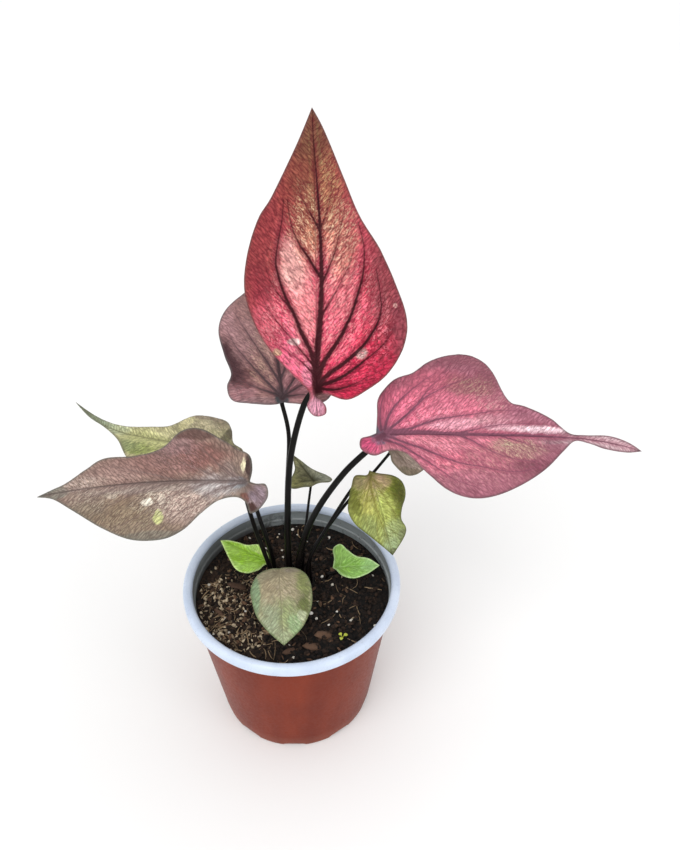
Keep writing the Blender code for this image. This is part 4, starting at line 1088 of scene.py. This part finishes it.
def make_blade(name, leaf):
    """A blade of fine faces: puffed between sunken veins above, with raised ribs below."""
    look = LOOKS[name]
    face_size = SMALL_FACE if leaf.get("small") else LARGE_FACE
    notch, tip = (-NOTCH_BACK, 0), (leaf["length"], 0)
    margins = [spaced_curve([notch, *leaf[side], tip], face_size) for side in ("right", "left")]
    outline = np.vstack([margins[0], margins[1][-2:0:-1]])
    veins = vein_lines(look, outline, face_size / 2)
    midrib = spaced_curve([(-NOTCH_BACK + 1, 0), (leaf["length"] - 1, 0)], face_size)
    flat, faces = fill_outline(outline, [midrib, *[line for line, _ in veins]], face_size)
    x, y = flat.T
    to_vein, share, width, rib = vein_fields(flat, veins)
    to_margin = nearest(flat, outline)[0]
    sheet = Sheet(leaf)
    normal = sheet.normal(x, y)
    relief = blade_relief(leaf, look, outline, margins, x, y, to_vein)
    groove = GROOVE * np.minimum(rib, 1.0)
    top = sheet.place(x, y) + normal * (relief - groove)[:, None]
    inner = smooth(to_margin / THIN_MARGIN)
    gain = LAMINA - MARGIN_THICKNESS + RIB_DEPTH * np.minimum(rib, THICKEST_RIB)
    thickness = MARGIN_THICKNESS + gain * inner
    bottom = top - normal * thickness[:, None]
    count = len(flat)
    rim = boundary(faces)
    all_faces = (faces + [(c + count, b + count, a + count) for a, b, c in faces]
                 + [(b, a, a + count, b + count) for a, b in rim])
    finish = leaf_finish(f"leaf_{name}", look)
    blade = add_piece(f"leaf_{name}", np.vstack([top, bottom]), all_faces, [finish])
    store(blade, "flat", np.vstack([flat, flat]))
    store(blade, "grain", np.vstack([grain_of(x, y)] * 2))
    store(blade, "vein", np.vstack([np.stack([share, width], axis=1)] * 2))
    store(blade, "margin", np.vstack([np.stack([to_margin, 0 * x + face], axis=1) for face in (0, 1)]))
    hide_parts(f"blade_{name}")


def boundary(faces):
    """The edges that only one face has, in that face's turning direction."""
    edges = {(a, b) for face in faces for a, b in zip(face, face[1:] + face[:1])}
    return [(a, b) for a, b in edges if (b, a) not in edges]


def on_tuber(x, y, inset):
    """The height of the tuber's top over a place, or a little nearer to its middle."""
    reach = math.hypot(x - TUBER_CENTRE[0], y - TUBER_CENTRE[1]) - inset
    share = max(reach, 0) / TUBER_RADII[0]
    return TUBER_CENTRE[2] + TUBER_RADII[2] * math.sqrt(1 - share ** 2)


def make_petiole(name, leaf, finish):
    """A petiole: a tapering stalk that widens into a sheath at the soil and into the midrib at the blade."""
    x, y = leaf["root"]
    foot = Vector((x, y, on_tuber(x, y, leaf["radius"][0]) + CLEARANCE))
    aim = Vector(leaf["route"][0]) - foot
    collar = foot + aim * ((SOIL_LEVEL + SOIL_COLLAR - foot.z) / aim.z)
    sheet = Sheet(leaf)
    down = -sheet.normal(np.zeros(1), np.zeros(1))[0]
    rib = SMALL_RIB_THICKNESS if leaf.get("small") else RIB_THICKNESS
    top = sheet.at + down * (0.8 * rib + 0.4)
    neck = top + down * leaf["radius"][1] * NECK_RADII
    path = spaced_curve([tuple(p) for p in (foot, collar, *leaf["route"], neck, top)], STALK_STEP)
    share = np.linspace(0.0, 1.0, len(path))
    thick, thin = leaf["radius"]
    to_top = (1 - share) * len(path) * STALK_STEP
    over_soil = path[:, 2] - SOIL_LEVEL
    radii = thick + (thin - thick) * share
    radii *= (1 + CROWN_SWELL * np.exp(-(to_top / CROWN_REACH) ** 2)
              + SHEATH_SWELL * np.exp(-(np.abs(over_soil) / SHEATH_REACH) ** 2))
    places, faces, _ = skin(tube_rings(path, radii, STALK_SIDES))
    petiole = add_piece(f"stalk_{name}", places, faces, [finish])
    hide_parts(f"petiole_{name}")


def pot_outside(height):
    """The pot wall's outer radius below the rim."""
    return FOOT_RADIUS + (NECK_RADIUS - FOOT_RADIUS) * height / NECK_HEIGHT


def pot_inside(height):
    """The pot wall's inner radius."""
    return pot_outside(height) - WALL


def arc_points(centre, radius, start, stop, count):
    """Points on an arc of the pot's section, from one angle to another in degrees."""
    angles = np.radians(np.linspace(start, stop, count))
    return [(centre[0] + radius * math.cos(a), centre[1] + radius * math.sin(a)) for a in angles]


def pot_section():
    """The pot's section with the finish of each stretch: 0 outside wall, 1 pale lip, 2 dark lining."""
    neck = NECK_HEIGHT
    heel = FLOOR + HEEL_RISE
    lip = RIM_WIDTH / 2
    middle = (RIM_RADIUS - lip, POT_HEIGHT - lip)
    step = pot_inside(0) - HEEL_WIDTH
    rise = [heel + (neck - 6 - heel) * k / 8 for k in range(9)]
    lining = [(0.01, FLOOR), (18, FLOOR), (36, FLOOR), (step, FLOOR), (step + HEEL_RISE, heel),
              *[(pot_inside(h), h) for h in rise],
              (pot_inside(neck - 5) - 0.1, neck - 5), (pot_inside(neck - 4) - 0.8, neck - 4.6),
              (pot_inside(neck - 3) - 0.8, neck - 3.6), (pot_inside(neck - 3), neck - 3),
              (pot_inside(neck), neck), (middle[0] - lip + 0.1, neck + 2.6)]
    crown = [(middle[0] - lip, middle[1] - 0.6), *arc_points(middle, lip, 180, 0, 19),
             (RIM_RADIUS, neck + 1.0), (RIM_RADIUS - 0.2, neck + 0.2), (RIM_RADIUS - 0.7, neck - 0.2),
             (RIM_RADIUS - 1.6, neck)]
    under = [(RIM_RADIUS - 2.4, neck + 2.0), (NECK_RADIUS + 1.2, neck + 2.4), (NECK_RADIUS + 0.3, neck + 1.6)]
    walls = [neck * (1 - k / 14) for k in range(14)]
    wall = [(pot_outside(h), h) for h in walls if h > 3]
    toe = arc_points((pot_outside(0) - 2.5, 2.5), 2.5, 0, -90, 7)
    base = [(44, 0.0), (42, 0.6), (20, 0.6), (0.01, 0.6)]
    bands = [2] * len(lining) + [1] * (len(crown) - 1) + [0] * (len(under) + len(wall) + len(toe) + len(base))
    return lining + crown + under + wall + toe + base, bands


def make_pot():
    """The nursery pot, with drain notches round its foot and drain holes through its floor."""
    section, finishes = pot_section()
    rings = []
    for radius, height in section:
        in_foot = radius > 43 and height < 1.9 or radius > 49 and height < NOTCH_FADE
        ring = []
        for k in range(POT_SIDES):
            angle = math.tau * k / POT_SIDES
            from_notch = (angle * NOTCHES / math.tau % 1.0 - 0.5) * math.tau * FOOT_RADIUS / NOTCHES
            arch = max(1 - (from_notch / (NOTCH_WIDTH / 2)) ** 2, 0.0) ** 0.5
            lift = NOTCH_HEIGHT * arch * max(1 - height / NOTCH_FADE, 0.0) if in_foot else 0.0
            ring.append((radius * math.cos(angle), radius * math.sin(angle), height + lift))
        rings.append(ring)
    places, faces, bands = skin(rings)
    kinds = [finishes[k] for k in bands]
    finish = [pot_wall_finish(), pot_rim_finish(), pot_lining_finish()]
    pot = add_piece("nursery_pot", places, faces, finish, kinds)
    drill_drains(pot)
    pot.data.set_sharp_from_angle(angle=math.radians(40))
    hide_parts("pot")


def drill_drains(pot):
    """Cut the round drain holes through the pot's floor."""
    shape = bmesh.new()
    for k in range(DRAIN_HOLES):
        angle = math.tau * k / DRAIN_HOLES
        made = bmesh.ops.create_cone(shape, cap_ends=True, segments=32, radius1=DRAIN_RADIUS * MM,
                                     radius2=DRAIN_RADIUS * MM, depth=4 * FLOOR * MM)
        spot = Vector((math.cos(angle), math.sin(angle), 0)) * DRAIN_CIRCLE * MM
        bmesh.ops.translate(shape, verts=made["verts"], vec=spot)
    mesh = bpy.data.meshes.new("drains")
    shape.to_mesh(mesh)
    shape.free()
    drains = bpy.data.objects.new("drains", mesh)
    bpy.context.scene.collection.objects.link(drains)
    cut = pot.modifiers.new("drains", "BOOLEAN")
    cut.operation = "DIFFERENCE"
    cut.solver = "EXACT"
    cut.object = drains
    graph = bpy.context.evaluated_depsgraph_get()
    drilled = bpy.data.meshes.new_from_object(pot.evaluated_get(graph))
    pot.modifiers.clear()
    pot.data = drilled
    bpy.data.objects.remove(drains)


def soil_heights(places):
    """The soil's surface: the heap and crumbs of the part's own, with the grit that only shows close up."""
    edge = pot_inside(SOIL_LEVEL) - CLEARANCE
    heights = []
    for x, y in places:
        share = math.hypot(x, y) / edge
        spot = Vector((x, y, 0))
        inner = 1 - min(share, 1) ** 6
        crumbs = noise.fractal(spot / SOIL_CRUMB, *SOIL_FRACTAL)
        height = SOIL_LEVEL + SOIL_HEAP * (1 - share ** 2) + SOIL_RELIEF * inner * crumbs
        cell = noise.voronoi(spot / SOIL_GRIT)[0][0]
        dust = noise.fractal(spot / DUST_SIZE, *DUST_FRACTAL)
        height += inner * (GRIT_RELIEF * (0.5 - cell) + DUST_RELIEF * dust)
        heights.append(height)
    return np.array(heights)


def make_soil():
    """The soil: a crumbly heap over a plug that fills the pot."""
    edge = pot_inside(SOIL_LEVEL) - CLEARANCE
    turns = np.linspace(0, math.tau, SOIL_SIDES + 1)[:-1]
    rim = np.array([(edge * math.cos(a), edge * math.sin(a)) for a in turns])
    flat, faces = fill_outline(rim, [], SOIL_FACE)
    top = np.column_stack([flat, soil_heights(flat)])
    rim_edges = boundary(faces)
    follow = dict(rim_edges)
    order = [rim_edges[0][0]]
    while follow[order[-1]] != order[0]:
        order.append(follow[order[-1]])
    floor = FLOOR + CLEARANCE
    heel = floor + HEEL_RISE
    step = pot_inside(0) - HEEL_WIDTH - CLEARANCE
    lower = [(pot_inside(SOIL_LEVEL - 8) - CLEARANCE, SOIL_LEVEL - 8), (pot_inside(50) - CLEARANCE, 50),
             (pot_inside(heel) - CLEARANCE, heel), (step + HEEL_RISE, heel), (step, floor), (10, floor)]
    places = [tuple(p) for p in top]
    ring = order
    for radius, height in lower:
        start = len(places)
        for k in order:
            x, y = flat[k] / edge
            places.append((x * radius, y * radius, height))
        low = list(range(start, start + len(order)))
        for i in range(len(order)):
            j = (i + 1) % len(order)
            faces.append((ring[j], ring[i], low[i], low[j]))
        ring = low
    faces.append(tuple(ring[::-1]))
    soil = add_piece("soil_bed", places, faces, [peat_finish()])
    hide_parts("soil")


def chip_points(rng, unit, long, wide, thick, rough):
    """One bit of bark, crumb or perlite: a jittered ball, flattened and turned."""
    angles = (rng.uniform(-0.5, 0.5), rng.uniform(-0.5, 0.5), rng.uniform(0, math.tau))
    turn = Euler(angles, "XYZ").to_matrix()
    points = []
    for x, y, z in unit:
        swell = 1 + rng.uniform(-rough, rough)
        points.append(turn @ Vector((x * long * swell, y * wide * swell, z * thick * swell)))
    return points


def scatter(name, finish, sizes, spots, seed, rough=0.2, sink=0.3, detail=1):
    """Loose bits lying on the soil, joined into one piece, each with its own shade."""
    rng = random.Random(seed)
    shape = bmesh.new()
    bmesh.ops.create_icosphere(shape, subdivisions=detail, radius=1.0)
    unit = [tuple(v.co) for v in shape.verts]
    pattern = [[v.index for v in face.verts] for face in shape.faces]
    shape.free()
    places, faces, shades = [], [], []
    heights = soil_heights(spots)
    for (x, y), height in zip(spots, heights):
        long = rng.uniform(*sizes[0])
        wide = long * rng.uniform(*sizes[1])
        thick = long * rng.uniform(*sizes[2])
        start = len(places)
        shade = rng.random()
        for point in chip_points(rng, unit, long, wide, thick, rough):
            places.append((x + point.x, y + point.y, height + thick * (1 - sink) + point.z))
            shades.append((shade, 0.0))
        faces += [[start + k for k in face] for face in pattern]
    piece = add_piece(name, places, faces, [finish])
    store(piece, "shade", shades)
    return piece


def soil_spots(rng, count, centre=(0, 0), spread=60.0):
    """Random places on the soil's top, round a centre and clear of the wall."""
    spots = []
    while len(spots) < count:
        angle = rng.uniform(0, math.tau)
        reach = spread * math.sqrt(rng.random())
        x, y = centre[0] + reach * math.cos(angle), centre[1] + reach * math.sin(angle)
        if math.hypot(x, y) < LITTER_REACH:
            spots.append((x, y))
    return spots


def make_fibres(finish):
    """Thin roots and peat fibres that lie curled on the soil, thickest on the left."""
    rng = random.Random(31)
    places, faces, shades = [], [], []
    spots = soil_spots(rng, 170, (-30, -14), 34) + soil_spots(rng, 60, (4, 0), 58)
    for x, y in spots:
        heading = rng.uniform(0, math.tau)
        step = rng.uniform(0.7, 1.9)
        bend = rng.uniform(-0.25, 0.25)
        line = []
        for k in range(8):
            line.append((x, y))
            heading += bend + rng.uniform(-0.15, 0.15)
            x, y = x + step * math.cos(heading), y + step * math.sin(heading)
        line = [(a, b) for a, b in line if math.hypot(a, b) < 61.5]
        if len(line) < 4:
            continue
        radius = rng.uniform(0.18, 0.42)
        ground = np.convolve(np.pad(soil_heights(line), 1, mode="edge"), [1 / 3] * 3, mode="valid")
        path = [(a, b, h) for (a, b), h in zip(line, ground + radius + 0.25)]
        radii = [radius * (0.6 + 0.4 * math.sin(math.pi * (k + 0.5) / len(path)))
                 for k in range(len(path))]
        more, joined, _ = skin(tube_rings(path, radii, 6))
        join(places, faces, more, joined)
        shades += [(rng.random(), 0.0)] * len(more)
    piece = add_piece("soil_fibres", places, faces, [finish])
    store(piece, "shade", shades)
    return piece


def make_litter():
    """Everything loose on the soil, palest where the left side has dried."""
    rng = random.Random(7)
    scatter("soil_crumbs", bits_finish("peat_crumbs", "0A0605", "35251B", 0.95, 1.0),
            ((0.6, 1.8), (0.6, 1.0), (0.5, 0.9)), soil_spots(rng, 1000), 11, 0.28, 0.35)
    scatter("soil_bark", bits_finish("composted_bark", "1E130C", "6A4E3A", 0.85, 0.8),
            ((1.2, 3.2), (0.3, 0.6), (0.2, 0.4)), soil_spots(rng, 150) + soil_spots(rng, 60, (-30, -12), 32),
            12, 0.25, 0.3)
    scatter("soil_straw", bits_finish("dried_bark_dust", "5A4430", "D8C6A8", 0.9, 0.8),
            ((0.7, 2.0), (0.3, 0.7), (0.25, 0.5)),
            soil_spots(rng, 330, (-36, -18), 31) + soil_spots(rng, 25), 14)
    chips = [(21, -36), (14, -44), (0, -48), (-36, 2), (40, 18), (-46, -18), (30, 34)]
    scatter("soil_chips", bits_finish("pine_bark", "35221A", "644A38", 0.8, 1.2),
            ((4.5, 7.0), (0.35, 0.5), (0.15, 0.25)), chips, 5, 0.2, 0.3, 2)
    pale = [(0.3, 58.5), (9.7, 54.5), (31, -30.7), (24, -28), (38, -24), (-42, -22), (-38, -34), (-30, -8),
            (26, 4), (34, 14), (-12, 52), (3, -52)]
    scatter("soil_perlite", bits_finish("expanded_perlite", "C9C2B4", "F4F1EA", 0.9, 0.5),
            ((0.6, 1.3), (0.6, 1.0), (0.6, 0.9)), pale + soil_spots(rng, 40), 9, 0.25, 0.35, 2)
    make_fibres(bits_finish("peat_fibre", "24170F", "A88E6E", 0.85, 1.5))


def make_sprout():
    """A seedling beside the rim: three cupped leaflets on thin stems."""
    fresh = clouded_finish("seedling_leaf", 0.5, 0.8 / MM, "8E9A1E", "D6DC5A")
    places, faces = [], []
    base = Vector((32.5, -37, 0))
    base.z = float(soil_heights([(base.x, base.y)])[0])
    for turn, lean, long in ((0.3, 0.6, 2.6), (2.4, 0.5, 2.3), (4.4, 0.7, 2.0)):
        out = Vector((math.cos(turn), math.sin(turn), 0))
        tip = base + out * 1.6 * lean + Vector((0, 0, 2.2))
        path = [base + (tip - base) * k / 4 for k in range(5)]
        rings = tube_rings(path, [0.35, 0.3, 0.28, 0.26, 0.24], 8)
        across = Vector((-out.y, out.x, 0))
        leaflet = []
        for k in range(9):
            t = k / 8
            half = 1.15 * math.sin(math.pi * min(t * 0.94 + 0.06, 1.0)) ** 0.7 + 0.05
            mid = tip + out * long * t + Vector((0, 0, 0.9 * math.sin(math.pi * t) * lean - 0.4 * t))
            around = [math.tau * i / 12 for i in range(12)]
            leaflet.append([mid + across * half * math.cos(a)
                            + Vector((0, 0, 0.16 * math.sin(a) + 0.35 * abs(math.cos(a)))) for a in around])
        for ring_set in (rings, leaflet):
            more, joined, _ = skin(ring_set)
            join(places, faces, more, joined)
    add_piece("seedling", places, faces, [fresh])


def light(name, kind, place, aim, power, size):
    """A soft light that points at a place: its size is an area lamp's side in metres, or a sun's angle."""
    lamp = bpy.data.lights.new(name, kind)
    lamp.energy = power
    if kind == "SUN":
        lamp.angle = size
    else:
        lamp.size = size
    thing = bpy.data.objects.new(name, lamp)
    bpy.context.scene.collection.objects.link(thing)
    thing.location = place
    thing.rotation_euler = (Vector(aim) - Vector(place)).to_track_quat("-Z", "Y").to_euler()


def make_studio():
    """A white floor, a pale sky all round, soft lights, and the camera above and in front."""
    scene = bpy.context.scene
    scene.view_settings.view_transform = "Standard"
    mesh = bpy.data.meshes.new("floor")
    corners = [(FLOOR_HALF * x, FLOOR_HALF * y, 0) for x, y in ((-1, -1), (1, -1), (1, 1), (-1, 1))]
    mesh.from_pydata(corners, [], [(0, 1, 2, 3)])
    mesh.materials.append(clouded_finish("painted_board", 0.8, 3.0, "F4F4F3", "F7F7F7"))
    floor = bpy.data.objects.new("floor", mesh)
    scene.collection.objects.link(floor)
    world = bpy.data.worlds.new("sky")
    world.use_nodes = True
    sky = world.node_tree.nodes["Background"]
    sky.inputs["Color"].default_value = linear("FFFFFF")
    sky.inputs["Strength"].default_value = SKY
    scene.world = world
    light("key", "SUN", *SUN)
    light("fill", "AREA", *FILL)
    camera = bpy.data.cameras.new("camera")
    camera.sensor_width = SENSOR
    camera.lens = LENS
    camera.clip_start = 0.01
    view = bpy.data.objects.new("camera", camera)
    scene.collection.objects.link(view)
    view.location = CAMERA_AT
    view.rotation_euler = (math.radians(90 - CAMERA_DOWN), 0, 0)
    scene.camera = view


def dress():
    """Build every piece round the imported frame."""
    make_studio()
    make_pot()
    make_soil()
    make_litter()
    make_sprout()
    stalk = petiole_finish()
    for name, leaf in LEAVES.items():
        make_petiole(name, leaf, stalk)
        make_blade(name, leaf)
    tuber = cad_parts["tuber"]
    for place in tuber.material_slots:
        place.material = tuber_finish()


dress()
bpy.context.view_layer.update()
